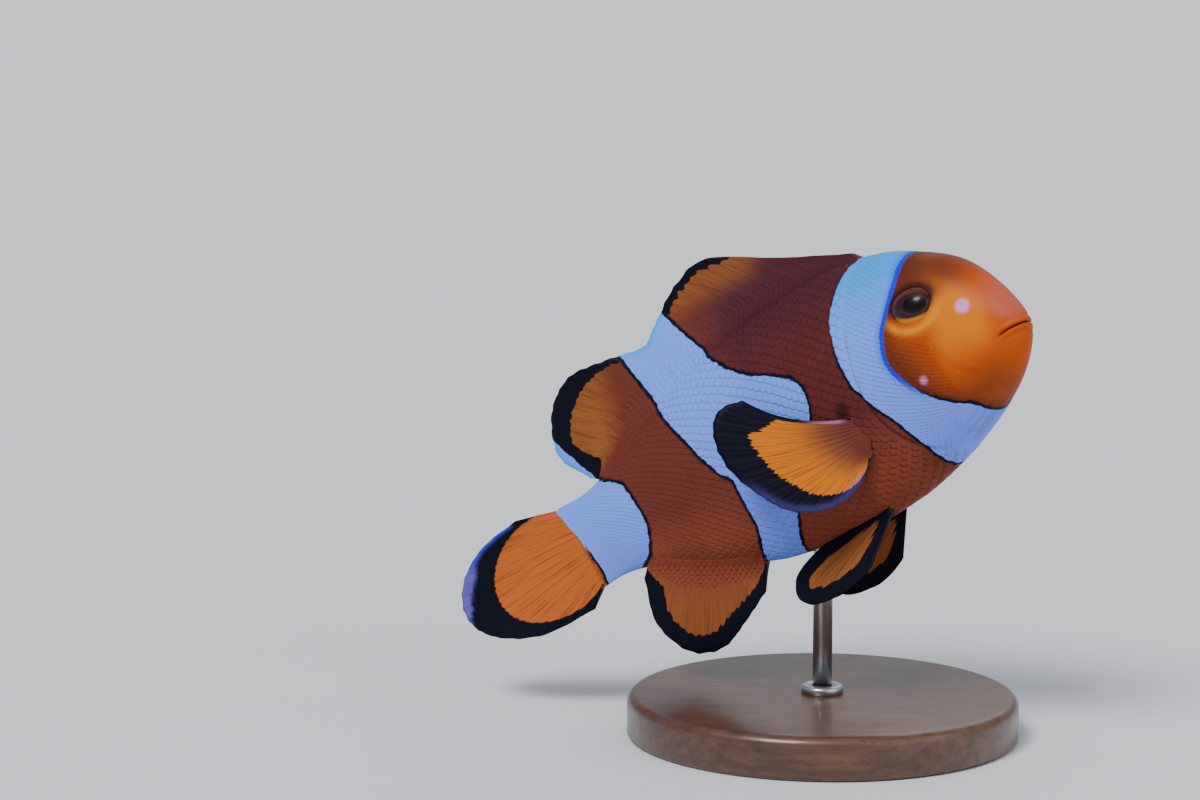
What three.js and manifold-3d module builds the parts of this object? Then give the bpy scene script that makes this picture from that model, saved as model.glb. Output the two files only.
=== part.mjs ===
// Clownfish, life size, standing still on a small display stand.
//
// The fish is drawn in its own frame first: s runs back from the snout tip along the spine, h is the
// height above the spine and w the distance to the fish's left. The spine is bent and tilted into the
// swimming attitude, and every point is carried along with it. All sizes are millimetres.

import * as THREE from 'three';
import { mergeVertices } from 'three/addons/utils/BufferGeometryUtils.js';
import Module from 'manifold-3d';

const wasm = await Module();
wasm.setup();
const { Manifold, Mesh: SolidMesh } = wasm;

// ---------------------------------------------------------------- driving sizes

const BODY_LENGTH = 72;      // snout tip to the root of the tail fin
const GAP = 0.3;             // air left between neighbouring pieces
const RING = 24;             // points round one body section
const SPINE_STEP = 0.5;

// Swimming attitude in degrees: the whole fish, then the extra bend of its two ends.
const ATTITUDE = { heading: -18.7, pitch: 27.4, roll: -5.8 };
const HEAD_BEND = { turn: 34.3, dip: 3.1 };
const TAIL_BEND = { turn: 2.2, dip: 8.1 };
const BEND_CENTRE = 0.5;     // bends start here, as a share of the body length
const BEND_END = 1.15;
const BEND_POWER = 1.3;

// Where the bend centre sits above the middle of the stand.
const FISH_AT = new THREE.Vector3(-2.2, 1.5, 39.6);

// Body section: share of the length, back height, belly depth, half width, height of the widest point.
const SECTIONS = [
  [0.000, 0.000, 0.000, 0.000, 0.000],
  [0.015, 0.043, 0.036, 0.030, 0.000],
  [0.050, 0.100, 0.072, 0.052, 0.004],
  [0.100, 0.152, 0.106, 0.077, 0.012],
  [0.160, 0.186, 0.138, 0.094, 0.016],
  [0.240, 0.218, 0.170, 0.105, 0.012],
  [0.360, 0.237, 0.202, 0.109, 0.008],
  [0.480, 0.229, 0.213, 0.101, 0.005],
  [0.620, 0.203, 0.200, 0.080, 0.000],
  [0.760, 0.154, 0.152, 0.056, 0.000],
  [0.880, 0.100, 0.098, 0.035, 0.000],
  [0.950, 0.084, 0.084, 0.027, 0.000],
  [1.000, 0.086, 0.086, 0.021, 0.000],
];

// Cuts across the body, as shares of the length at belly, middle and back.
const GILL_CUT = { belly: 0.205, middle: 0.325, back: 0.262 };
const STALK_CUT = { belly: 0.845, middle: 0.825, back: 0.865 };

// Head details.
const EYE = { s: 0.162, h: 0.099, long: 3.25, tall: 2.60, deep: 2.5, proud: 1.05 };
const MOUTH = { line: -0.004, back: 0.058, droop: 0.016, gape: 0.35, chinBack: 0.078, halfWidth: 4.2 };
const GILL_PLATE = { front: 0.222, low: -0.80, high: 0.42, thick: 1.1 };

// Median fins. Roots are spans along the body; tips are [share of length, height] rows from front to back.
const SPINY_DORSAL = {
  rays: 11,
  root: [0.266, 0.668],
  tips: [[0.288, 0.238], [0.420, 0.292], [0.552, 0.354], [0.625, 0.337], [0.675, 0.299], [0.712, 0.264]],
  wave: { size: 0.9, turns: 0.6, start: 0.15 },
};
const SOFT_DORSAL = {
  rays: 14,
  root: [0.677, 0.886],
  tips: [[0.728, 0.264], [0.800, 0.276], [0.868, 0.280], [0.930, 0.240], [0.957, 0.168], [0.920, 0.104]],
  wave: { size: -1.1, turns: 0.9, start: 0 },
};
const ANAL = {
  rays: 12,
  root: [0.668, 0.880],
  tips: [[0.700, -0.232], [0.765, -0.262], [0.835, -0.285], [0.900, -0.262], [0.932, -0.190], [0.908, -0.108]],
  wave: { size: 0.8, turns: 0.7, start: 0.15 },
};
const CAUDAL = {
  rays: 15,
  root: 1.004,
  rootHeight: 0.078,
  tips: [
    [1.078, 0.106], [1.166, 0.101], [1.232, 0.074], [1.264, 0.030],
    [1.257, -0.018], [1.216, -0.063], [1.145, -0.099], [1.042, -0.117],
  ],
  wave: { size: 0.9, turns: 1.2, start: 0.15 },
};
const FIN_ROOT_THICK = 1.25;
const FIN_EDGE_THICK = 0.55;
const RAY_RIDGE = 0.16;
const RAY_REACH = 0.20;      // how far each ray runs past the web between rays

// Paired fins: a fan of rays in a tilted plane. Angles open from "straight back" towards the belly.
const PECTORAL = {
  rays: 17,
  s: 0.372,
  h: -0.070,
  rootSpan: 0.088,
  outward: 28,
  fan: [[-42, 0.226], [-30, 0.252], [-15, 0.240], [5, 0.201], [25, 0.170], [50, 0.120], [78, 0.058]],
  bow: 1.7,                  // how far the first ray bends towards the others
};
const PELVIC = {
  rays: 6,
  s: 0.405,
  side: 0.030,
  rootSpan: 0.022,
  outward: 26,
  fan: [[4, 0.150], [14, 0.214], [27, 0.224], [41, 0.178], [58, 0.104]],
  bow: 0.4,
};

// Stand.
const BASE_RADIUS = 25;
const BASE_HEIGHT = 5.5;
const BASE_ROUND = 1.2;
const ROD_RADIUS = 1.25;
const ROD_IN_BASE = 3.2;
const ROD_TOP = 31.5;

// ---------------------------------------------------------------- colours

const COLOURS = {
  head: 0xd9701a,
  trunk: 0x7c2f14,
  tail_stalk: 0xb2501a,
  fin: 0xcf7a14,
  eye: 0x140d0a,
  gill: 0xdfe6ee,
  wood: 0x3a2216,
  steel: 0xa9adb2,
};

const matte = (color, roughness = 0.55) => new THREE.MeshStandardMaterial({ color, roughness, metalness: 0 });

// ---------------------------------------------------------------- small tools

const radians = THREE.MathUtils.degToRad;
const clamp = THREE.MathUtils.clamp;
const lerp = THREE.MathUtils.lerp;

// Smooth curve through (xs, ys), read at x; monotone unless rounded.
function curveThrough(xs, ys, x, rounded = false) {
  const last = xs.length - 1;
  const slope = (i) => (ys[i + 1] - ys[i]) / (xs[i + 1] - xs[i]);
  const tangent = (i) => {
    if (i === 0) return slope(0);
    if (i === last) return slope(last - 1);
    const before = slope(i - 1);
    const after = slope(i);
    if (rounded) return (before + after) / 2;
    return before * after <= 0 ? 0 : (2 * before * after) / (before + after);
  };
  let i = 0;
  while (i < last - 1 && x > xs[i + 1]) i += 1;
  const span = xs[i + 1] - xs[i];
  const t = clamp((x - xs[i]) / span, 0, 1);
  const a = (1 + 2 * t) * (1 - t) ** 2 * ys[i];
  const b = t * (1 - t) ** 2 * span * tangent(i);
  const c = t * t * (3 - 2 * t) * ys[i + 1];
  const d = t * t * (t - 1) * span * tangent(i + 1);
  return a + b + c + d;
}

// Rows of numbers read at u in 0..1 with even spacing; returns one number per column.
function alongRows(rows, u) {
  const xs = rows.map((_, i) => i / (rows.length - 1));
  return rows[0].map((_, column) => curveThrough(xs, rows.map((row) => row[column]), u, true));
}

// ---------------------------------------------------------------- spine

function bendAt(s) {
  const middle = BEND_CENTRE * BODY_LENGTH;
  const ahead = clamp((middle - s) / middle, 0, 1.1) ** BEND_POWER;
  const behind = clamp((s - middle) / (BEND_END * BODY_LENGTH - middle), 0, 1.2) ** BEND_POWER;
  return {
    turn: radians(TAIL_BEND.turn * behind - HEAD_BEND.turn * ahead),
    dip: radians(TAIL_BEND.dip * behind - HEAD_BEND.dip * ahead),
  };
}

function buildSpine() {
  const tilt = new THREE.Euler(
    radians(ATTITUDE.roll), radians(-ATTITUDE.pitch), radians(ATTITUDE.heading), 'ZYX');
  const stations = [];
  for (let s = -2; s <= BODY_LENGTH + 24; s += SPINE_STEP) {
    const { turn, dip } = bendAt(s);
    const forward = new THREE.Vector3(
      Math.cos(turn) * Math.cos(dip), Math.sin(turn) * Math.cos(dip), Math.sin(dip));
    const left = new THREE.Vector3(-Math.sin(turn), Math.cos(turn), 0);
    const up = new THREE.Vector3().crossVectors(forward, left);
    const before = stations.at(-1);
    const at = new THREE.Vector3();
    if (before) {
      const mean = before.forward.clone().add(forward).multiplyScalar(0.5 * SPINE_STEP);
      at.copy(before.at).sub(mean);
    }
    stations.push({ s, at, forward, left, up });
  }
  const middle = stations.find((row) => row.s >= BEND_CENTRE * BODY_LENGTH).at.clone();
  for (const row of stations) {
    row.at.sub(middle).applyEuler(tilt).add(FISH_AT);
    row.forward.applyEuler(tilt);
    row.left.applyEuler(tilt);
    row.up.applyEuler(tilt);
  }
  return stations;
}

const SPINE = buildSpine();

// Spine frame at s, read between the two nearest stations.
function spineAt(s) {
  const place = clamp((s - SPINE[0].s) / SPINE_STEP, 0, SPINE.length - 1.001);
  const i = Math.floor(place);
  const mix = (key) => SPINE[i][key].clone().lerp(SPINE[i + 1][key], place - i);
  return { at: mix('at'), forward: mix('forward'), left: mix('left'), up: mix('up') };
}

// Fish coordinates to world.
function fishPoint(s, h, w) {
  const { at, left, up } = spineAt(s);
  return at.addScaledVector(up, h).addScaledVector(left, w);
}

// ---------------------------------------------------------------- body surface

const ROOTS = SECTIONS.map((row) => Math.sqrt(row[0]));

// Section sizes at s; the square root spacing makes the snout round.
function sectionAt(s) {
  const q = Math.sqrt(clamp(s / BODY_LENGTH, 0, 1));
  const read = (column) => BODY_LENGTH * curveThrough(ROOTS, SECTIONS.map((row) => row[column]), q);
  return { back: read(1), belly: read(2), half: read(3), widest: read(4) };
}

// Point of the body surface: s along it, angle a round it (0 left, 90 back, 180 right, 270 belly).
// grow moves the surface outwards.
function skinPoint(s, a, grow = 0) {
  const { back, belly, half, widest } = sectionAt(s);
  const v = Math.sin(a);
  const reach = v > 0 ? back - widest + grow : belly + widest + grow;
  return fishPoint(s, widest + reach * v, (half + grow) * Math.cos(a));
}

// Outward direction of the body surface.
function skinNormal(s, a) {
  const step = 0.02;
  const along = skinPoint(s + step * BODY_LENGTH, a).sub(skinPoint(s - step * BODY_LENGTH, a));
  const round = skinPoint(s, a + step).sub(skinPoint(s, a - step));
  return along.cross(round).normalize();
}

// A cut across the body, read round it.
function cutAt(cut, a) {
  const v = Math.sin(a);
  const end = v > 0 ? cut.back : cut.belly;
  return BODY_LENGTH * lerp(cut.middle, end, v * v);
}

// ---------------------------------------------------------------- mesh building

function geometryFrom(points, faces) {
  const geometry = new THREE.BufferGeometry();
  geometry.setAttribute('position', new THREE.Float32BufferAttribute(points.flatMap((p) => p.toArray()), 3));
  geometry.setIndex(faces.flat());
  return geometry;
}

// Closed body from rings of equal count; both ends are capped by a fan round the ring's middle.
function loftRings(rings, tip = null) {
  const points = rings.flat();
  const count = rings[0].length;
  const faces = [];
  for (let i = 0; i + 1 < rings.length; i += 1) {
    for (let j = 0; j < count; j += 1) {
      const a = i * count + j;
      const b = i * count + ((j + 1) % count);
      faces.push([a, b, b + count], [a, b + count, a + count]);
    }
  }
  const middleOf = (ring) => ring.reduce((sum, p) => sum.add(p), new THREE.Vector3()).divideScalar(count);
  const first = points.push(tip ?? middleOf(rings[0])) - 1;
  const last = points.push(middleOf(rings.at(-1))) - 1;
  const start = (rings.length - 1) * count;
  for (let j = 0; j < count; j += 1) {
    const next = (j + 1) % count;
    faces.push([first, next, j], [last, start + j, start + next]);
  }
  return geometryFrom(points, faces);
}

// Part of the body between two cuts; from = null starts at the snout tip.
function bodySegment(from, to, stations, grow = 0, spacing = (u) => u) {
  const rings = [];
  for (let i = from ? 0 : 1; i <= stations; i += 1) {
    const u = spacing(i / stations);
    const ring = [];
    for (let j = 0; j < RING; j += 1) {
      const a = (2 * Math.PI * j) / RING;
      ring.push(skinPoint(lerp(from ? from(a) : 0, to(a), u), a, grow));
    }
    rings.push(ring);
  }
  return loftRings(rings, from ? null : fishPoint(-grow, 0, 0));
}

// Thin closed sheet from a grid of mid points, a matching grid of normals and a thickness at each.
function sheet(grid, thickness) {
  const columns = grid.length;
  const rows = grid[0].length;
  const points = [];
  for (const side of [1, -1]) {
    grid.forEach((column, i) => column.forEach(({ at, normal }, j) => {
      points.push(at.clone().addScaledVector(normal, side * 0.5 * thickness(i, j)));
    }));
  }
  const id = (side, i, j) => side * columns * rows + i * rows + j;
  const faces = [];
  const quad = (a, b, c, d) => faces.push([a, b, c], [a, c, d]);
  for (let i = 0; i + 1 < columns; i += 1) {
    for (let j = 0; j + 1 < rows; j += 1) {
      quad(id(0, i, j), id(0, i + 1, j), id(0, i + 1, j + 1), id(0, i, j + 1));
      quad(id(1, i, j), id(1, i, j + 1), id(1, i + 1, j + 1), id(1, i + 1, j));
    }
    quad(id(0, i, 0), id(1, i, 0), id(1, i + 1, 0), id(0, i + 1, 0));
    quad(id(0, i, rows - 1), id(0, i + 1, rows - 1), id(1, i + 1, rows - 1), id(1, i, rows - 1));
  }
  for (let j = 0; j + 1 < rows; j += 1) {
    quad(id(0, 0, j), id(0, 0, j + 1), id(1, 0, j + 1), id(1, 0, j));
    quad(id(0, columns - 1, j), id(1, columns - 1, j), id(1, columns - 1, j + 1), id(0, columns - 1, j + 1));
  }
  return geometryFrom(points, faces);
}

// ---------------------------------------------------------------- solids

// Geometry to a solid; turned inside out first when its faces look inwards.
function solidFrom(geometry) {
  const plain = new THREE.BufferGeometry();
  plain.setAttribute('position', geometry.getAttribute('position').clone());
  if (geometry.index) plain.setIndex(geometry.index.clone());
  const merged = mergeVertices(plain, 1e-4);
  const position = merged.getAttribute('position');
  const index = Uint32Array.from(merged.index.array);
  let volume = 0;
  const [a, b, c] = [new THREE.Vector3(), new THREE.Vector3(), new THREE.Vector3()];
  for (let i = 0; i < index.length; i += 3) {
    a.fromBufferAttribute(position, index[i]);
    b.fromBufferAttribute(position, index[i + 1]);
    c.fromBufferAttribute(position, index[i + 2]);
    volume += a.dot(b.cross(c));
  }
  if (volume < 0) {
    for (let i = 0; i < index.length; i += 3) {
      [index[i + 1], index[i + 2]] = [index[i + 2], index[i + 1]];
    }
  }
  return new Manifold(new SolidMesh({
    numProp: 3,
    vertProperties: Float32Array.from(position.array),
    triVerts: index,
  }));
}

function geometryOf(solid) {
  const { vertProperties, triVerts, numProp } = solid.getMesh();
  const geometry = new THREE.BufferGeometry();
  const points = [];
  for (let i = 0; i < vertProperties.length; i += numProp) {
    points.push(vertProperties[i], vertProperties[i + 1], vertProperties[i + 2]);
  }
  geometry.setAttribute('position', new THREE.Float32BufferAttribute(points, 3));
  geometry.setIndex([...triVerts]);
  geometry.computeVertexNormals();
  return geometry;
}

// Largest connected piece of a solid, in case a cut leaves a crumb behind.
function mainPiece(solid) {
  return solid.decompose().sort((a, b) => b.volume() - a.volume())[0];
}

const clownfish = new THREE.Group();
clownfish.name = 'clownfish';

function add(name, solid, material) {
  const mesh = new THREE.Mesh(geometryOf(solid), material);
  mesh.name = name;
  clownfish.add(mesh);
  return mesh;
}

// ---------------------------------------------------------------- whole body, grown, as a cutter

const wholeBody = (grow) => solidFrom(
  bodySegment(null, () => BODY_LENGTH, 34, grow, (u) => u ** 1.5));
const bodyCutter = wholeBody(GAP);

// ---------------------------------------------------------------- head

const gillEdge = (a) => cutAt(GILL_CUT, a);

// Eye ball on one side (side 1 is the fish's left), a little longer than tall. grow widens it.
function eyeBall(side, grow) {
  const s = EYE.s * BODY_LENGTH;
  const { back, widest } = sectionAt(s);
  const lift = Math.asin((EYE.h * BODY_LENGTH - widest) / (back - widest));
  const a = side > 0 ? lift : Math.PI - lift;
  const outward = skinNormal(s, a);
  const forward = spineAt(s).forward;
  forward.addScaledVector(outward, -forward.dot(outward)).normalize();
  const upward = new THREE.Vector3().crossVectors(outward, forward);
  const centre = skinPoint(s, a).addScaledVector(outward, EYE.proud - EYE.deep);
  const place = new THREE.Matrix4().makeBasis(
    forward.multiplyScalar(EYE.long + grow),
    outward.multiplyScalar(EYE.deep + grow),
    upward.multiplyScalar(EYE.tall + grow));
  place.setPosition(centre);
  return solidFrom(new THREE.SphereGeometry(1, 18, 12).applyMatrix4(place));
}

// Block of fish space under the mouth line, in front of the chin crease. grow widens it.
function jawBlock(grow) {
  const back = MOUTH.back * BODY_LENGTH + grow;
  const chin = MOUTH.chinBack * BODY_LENGTH + grow;
  const line = MOUTH.line * BODY_LENGTH + grow;
  const corner = line - MOUTH.droop * BODY_LENGTH;
  const wide = MOUTH.halfWidth + grow;
  const outline = [[-4, line], [back, corner], [chin, -12], [-4, -12]];
  const rings = [wide, -wide].map((w) => outline.map(([s, h]) => fishPoint(s, h, w)));
  return solidFrom(loftRings(rings));
}

// Curved plate lying in the cheek: a patch of the surface given some depth. grow widens it all round.
function gillPlate(side, grow, proud) {
  const columns = 5;
  const rows = 8;
  const margin = grow / BODY_LENGTH;
  const grid = [];
  for (let i = 0; i <= columns; i += 1) {
    const column = [];
    for (let j = 0; j <= rows; j += 1) {
      const v = lerp(GILL_PLATE.low - 5 * margin, GILL_PLATE.high + 5 * margin, j / rows);
      const a = side > 0 ? Math.asin(v) : Math.PI - Math.asin(v);
      const middle = (GILL_PLATE.low + GILL_PLATE.high) / 2;
      const bow = ((v - middle) / (GILL_PLATE.high - middle)) ** 2;
      const front = (GILL_PLATE.front + 0.030 * bow) * BODY_LENGTH - grow;
      const rear = gillEdge(a) + proud;
      const s = lerp(front, rear, i / columns);
      column.push({ outer: skinPoint(s, a, proud), inner: skinPoint(s, a, -GILL_PLATE.thick - grow) });
    }
    grid.push(column);
  }
  const pairs = grid.map((column) => column.map(({ outer, inner }) => ({
    at: outer.clone().lerp(inner, 0.5),
    normal: outer.clone().sub(inner).normalize(),
    depth: outer.distanceTo(inner),
  })));
  return solidFrom(sheet(pairs, (i, j) => pairs[i][j].depth));
}

const wholeHead = solidFrom(bodySegment(null, gillEdge, 15, 0, (u) => u ** 1.5));
let head = wholeHead;
for (const side of [1, -1]) {
  const name = side > 0 ? 'left' : 'right';
  add(`eye_${name}`, eyeBall(side, 0), matte(COLOURS.eye, 0.12));
  head = head.subtract(eyeBall(side, GAP));
  const plate = mainPiece(wholeHead.intersect(gillPlate(side, 0, 1)));
  add(`gill_cover_${name}`, plate, matte(COLOURS.gill, 0.45));
  head = head.subtract(gillPlate(side, GAP, 1));
}
const jaw = head.intersect(jawBlock(0));
head = head.subtract(jawBlock(MOUTH.gape));
add('head', mainPiece(head), matte(COLOURS.head));
add('lower_jaw', mainPiece(jaw), matte(COLOURS.head));

// ---------------------------------------------------------------- trunk and tail stalk

const stalkEdge = (a) => cutAt(STALK_CUT, a);
const rodHole = solidFrom(
  new THREE.CylinderGeometry(ROD_RADIUS + GAP, ROD_RADIUS + GAP, ROD_TOP + GAP, 20)
    .rotateX(Math.PI / 2)
    .translate(0, 0, (ROD_TOP + GAP) / 2));

const trunk = solidFrom(bodySegment((a) => gillEdge(a) + GAP, stalkEdge, 13));
add('trunk', mainPiece(trunk.subtract(rodHole)), matte(COLOURS.trunk));

const stalk = solidFrom(bodySegment((a) => stalkEdge(a) + GAP, () => BODY_LENGTH, 6));
add('tail_stalk', stalk, matte(COLOURS.tail_stalk));

// ---------------------------------------------------------------- median fins

const ridge = (i) => (i % 2 === 0 ? RAY_RIDGE : 0);

// Fin standing in the fish's middle plane. rootAt reads the root line; the wave swings its edge sideways.
function medianFin({ rays, tips, wave }, rootAt, rows) {
  const columns = 2 * (rays - 1);
  const grid = [];
  for (let i = 0; i <= columns; i += 1) {
    const u = i / columns;
    const [rootS, rootH] = rootAt(u);
    const [tipS, tipH] = alongRows(tips, u).map((share) => share * BODY_LENGTH);
    const length = Math.hypot(tipS - rootS, tipH - rootH);
    const reach = i % 2 === 0 ? 1 + RAY_REACH / length : 1;
    const lean = wave.size * Math.sin(2 * Math.PI * wave.turns * (u - wave.start));
    const column = [];
    for (let j = 0; j <= rows; j += 1) {
      const r = (j / rows) * reach;
      const s = lerp(rootS, tipS, r);
      const h = lerp(rootH, tipH, r);
      column.push({ at: fishPoint(s, h, lean * r * r), normal: spineAt(s).left });
    }
    grid.push(column);
  }
  return solidFrom(sheet(grid, (i, j) => lerp(FIN_ROOT_THICK, FIN_EDGE_THICK, j / rows) + ridge(i)));
}

const SUNK_ROOT = 1.2;
const onBack = ({ root: [from, to] }) => (u) => {
  const s = lerp(from, to, u) * BODY_LENGTH;
  return [s, sectionAt(s).back - SUNK_ROOT];
};
const onBelly = ({ root: [from, to] }) => (u) => {
  const s = lerp(from, to, u) * BODY_LENGTH;
  return [s, SUNK_ROOT - sectionAt(s).belly];
};
const onTail = ({ root, rootHeight }) => (u) => [
  root * BODY_LENGTH - SUNK_ROOT,
  lerp(rootHeight, -rootHeight, u) * BODY_LENGTH,
];

const fins = {
  fin_dorsal_spiny: medianFin(SPINY_DORSAL, onBack(SPINY_DORSAL), 3),
  fin_dorsal_soft: medianFin(SOFT_DORSAL, onBack(SOFT_DORSAL), 3),
  fin_anal: medianFin(ANAL, onBelly(ANAL), 3),
  fin_caudal: medianFin(CAUDAL, onTail(CAUDAL), 4),
};

// ---------------------------------------------------------------- paired fins

// Fan of rays from a short root line. back, down and normal are unit directions in the world.
function fanFin({ rays, rootSpan, fan, bow }, root, back, down, normal, rows) {
  const columns = 2 * (rays - 1);
  const grid = [];
  for (let i = 0; i <= columns; i += 1) {
    const u = i / columns;
    const [degrees, share] = alongRows(fan, u);
    const angle = radians(degrees);
    const along = back.clone().multiplyScalar(Math.cos(angle)).addScaledVector(down, Math.sin(angle));
    const across = down.clone().multiplyScalar(Math.cos(angle)).addScaledVector(back, -Math.sin(angle));
    const start = root.clone().addScaledVector(down, (u - 0.5) * rootSpan * BODY_LENGTH);
    const tip = root.clone().addScaledVector(along, share * BODY_LENGTH);
    if (i % 2 === 0) tip.addScaledVector(along, RAY_REACH);
    const column = [];
    for (let j = 0; j <= rows; j += 1) {
      const r = j / rows;
      const sag = bow * (1 - u) ** 2 * 4 * r * (1 - r);
      column.push({ at: start.clone().lerp(tip, r).addScaledVector(across, sag), normal });
    }
    grid.push(column);
  }
  return solidFrom(sheet(grid, (i, j) => lerp(FIN_ROOT_THICK, FIN_EDGE_THICK, j / rows) + ridge(i)));
}

function pectoral(side) {
  const s = PECTORAL.s * BODY_LENGTH;
  const h = PECTORAL.h * BODY_LENGTH;
  const { belly, half, widest } = sectionAt(s);
  const v = (widest - h) / (belly + widest);
  const { forward, left, up } = spineAt(s);
  const outward = left.clone().multiplyScalar(side);
  const open = radians(PECTORAL.outward);
  const back = forward.clone().multiplyScalar(-Math.cos(open)).addScaledVector(outward, Math.sin(open));
  const down = up.clone().negate();
  const normal = new THREE.Vector3().crossVectors(back, down).normalize();
  const root = fishPoint(s, h, side * half * Math.sqrt(1 - v * v)).addScaledVector(outward, -0.2);
  return fanFin(PECTORAL, root, back, down, normal, 4);
}

function pelvic(side) {
  const s = PELVIC.s * BODY_LENGTH;
  const { belly } = sectionAt(s);
  const { forward, left, up } = spineAt(s);
  const open = radians(PELVIC.outward);
  const down = up.clone().multiplyScalar(-Math.cos(open)).addScaledVector(left, side * Math.sin(open));
  const back = forward.clone().negate();
  const normal = new THREE.Vector3().crossVectors(back, down).normalize();
  const root = fishPoint(s, 0.9 - belly, side * PELVIC.side * BODY_LENGTH);
  return fanFin(PELVIC, root, back, down, normal, 3);
}

for (const side of [1, -1]) {
  const name = side > 0 ? 'left' : 'right';
  fins[`fin_pectoral_${name}`] = pectoral(side);
  fins[`fin_pelvic_${name}`] = pelvic(side);
}

for (const [name, fin] of Object.entries(fins)) {
  add(name, mainPiece(fin.subtract(bodyCutter)), matte(COLOURS.fin));
}

// ---------------------------------------------------------------- stand

function standBase() {
  const arc = [];
  for (let i = 0; i <= 4; i += 1) {
    const a = (Math.PI / 2) * (i / 4);
    arc.push(new THREE.Vector2(
      BASE_RADIUS - BASE_ROUND + BASE_ROUND * Math.cos(a),
      BASE_HEIGHT - BASE_ROUND + BASE_ROUND * Math.sin(a)));
  }
  const profile = [new THREE.Vector2(0, 0), new THREE.Vector2(BASE_RADIUS, 0), ...arc,
    new THREE.Vector2(0, BASE_HEIGHT)];
  const disc = solidFrom(new THREE.LatheGeometry(profile, 44).rotateX(Math.PI / 2));
  const hole = new THREE.CylinderGeometry(ROD_RADIUS + GAP, ROD_RADIUS + GAP, 2 * ROD_IN_BASE, 20)
    .rotateX(Math.PI / 2)
    .translate(0, 0, BASE_HEIGHT);
  return disc.subtract(solidFrom(hole));
}

function standRod() {
  const bottom = BASE_HEIGHT - ROD_IN_BASE + GAP;
  const rod = new THREE.CylinderGeometry(ROD_RADIUS, ROD_RADIUS, ROD_TOP - bottom, 20)
    .rotateX(Math.PI / 2)
    .translate(0, 0, (ROD_TOP + bottom) / 2);
  return solidFrom(rod);
}

add('stand_base', standBase(), matte(COLOURS.wood, 0.4));
add('stand_rod', standRod(),
  new THREE.MeshStandardMaterial({ color: COLOURS.steel, roughness: 0.3, metalness: 1 }));

export default clownfish;
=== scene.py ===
"""Life-size clownfish on a display stand: one skin, a coat of scales, glass eyes, stand and studio."""

import math

import bmesh
import bpy
import numpy as np
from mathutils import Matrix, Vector


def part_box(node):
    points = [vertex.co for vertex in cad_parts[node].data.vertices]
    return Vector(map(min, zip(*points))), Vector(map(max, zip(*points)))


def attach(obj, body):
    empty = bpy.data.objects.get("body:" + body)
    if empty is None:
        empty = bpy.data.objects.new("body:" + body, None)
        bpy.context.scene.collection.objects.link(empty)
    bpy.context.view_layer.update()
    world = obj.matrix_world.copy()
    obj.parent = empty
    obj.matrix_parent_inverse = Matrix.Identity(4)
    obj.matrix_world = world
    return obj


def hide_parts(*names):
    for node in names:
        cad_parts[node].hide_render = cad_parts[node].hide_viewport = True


bl_info = {
    "name": "Clownfish on a stand",
    "version": (1, 0, 0),
    "blender": (4, 5, 0),
    "location": "View3D > Sidebar > Clownfish",
    "description": "Builds a life-size clownfish with scales, fins and glass eyes on a display stand",
    "category": "Object",
}

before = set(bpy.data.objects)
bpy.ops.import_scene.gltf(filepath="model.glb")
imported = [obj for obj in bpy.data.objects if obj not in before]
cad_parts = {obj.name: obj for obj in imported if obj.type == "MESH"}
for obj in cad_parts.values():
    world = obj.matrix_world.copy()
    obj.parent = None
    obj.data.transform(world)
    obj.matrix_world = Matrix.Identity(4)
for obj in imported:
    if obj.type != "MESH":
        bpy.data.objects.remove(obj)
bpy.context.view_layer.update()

# ---------------- driving sizes, in millimetres

MM = 0.001
BODY_LENGTH = 72.0  # snout tip to the root of the tail fin
SPINE_START = -2.0
SPINE_END = BODY_LENGTH + 24.0
SPINE_STEP = 0.5
ATTITUDE = {"heading": -18.7, "pitch": 27.4, "roll": -5.8}
HEAD_BEND = {"turn": 34.3, "dip": 3.1, "most": 1.1}
TAIL_BEND = {"turn": 2.2, "dip": 8.1, "most": 1.2}
BEND_CENTRE = 0.5
BEND_END = 1.15
BEND_POWER = 1.3
FISH_AT = np.array([-2.2, 1.5, 39.6])

# Body section: share of the length, back height, belly depth, half width, height of the widest point.
SECTIONS = np.array([
    [0.000, 0.000, 0.000, 0.000, 0.000],
    [0.015, 0.043, 0.036, 0.030, 0.000],
    [0.050, 0.100, 0.072, 0.052, 0.004],
    [0.100, 0.152, 0.106, 0.077, 0.012],
    [0.160, 0.186, 0.138, 0.094, 0.016],
    [0.240, 0.218, 0.170, 0.105, 0.012],
    [0.360, 0.237, 0.202, 0.109, 0.008],
    [0.480, 0.229, 0.213, 0.101, 0.005],
    [0.620, 0.203, 0.200, 0.080, 0.000],
    [0.760, 0.154, 0.152, 0.056, 0.000],
    [0.880, 0.100, 0.098, 0.035, 0.000],
    [0.950, 0.084, 0.084, 0.027, 0.000],
    [1.000, 0.086, 0.086, 0.021, 0.000],
])
STALK_TAPER = {"from": 0.90, "share": 0.42}

GILL_EDGE = {"belly": 0.205, "middle": 0.325, "back": 0.262}
# Place, half lengths and how far the eye stands out; level is how wide it reads the lie of the head.
EYE = {"s": 0.162, "h": 0.099, "long": 3.25, "tall": 2.60, "deep": 2.5, "proud": 1.05, "level": 0.02}
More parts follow.
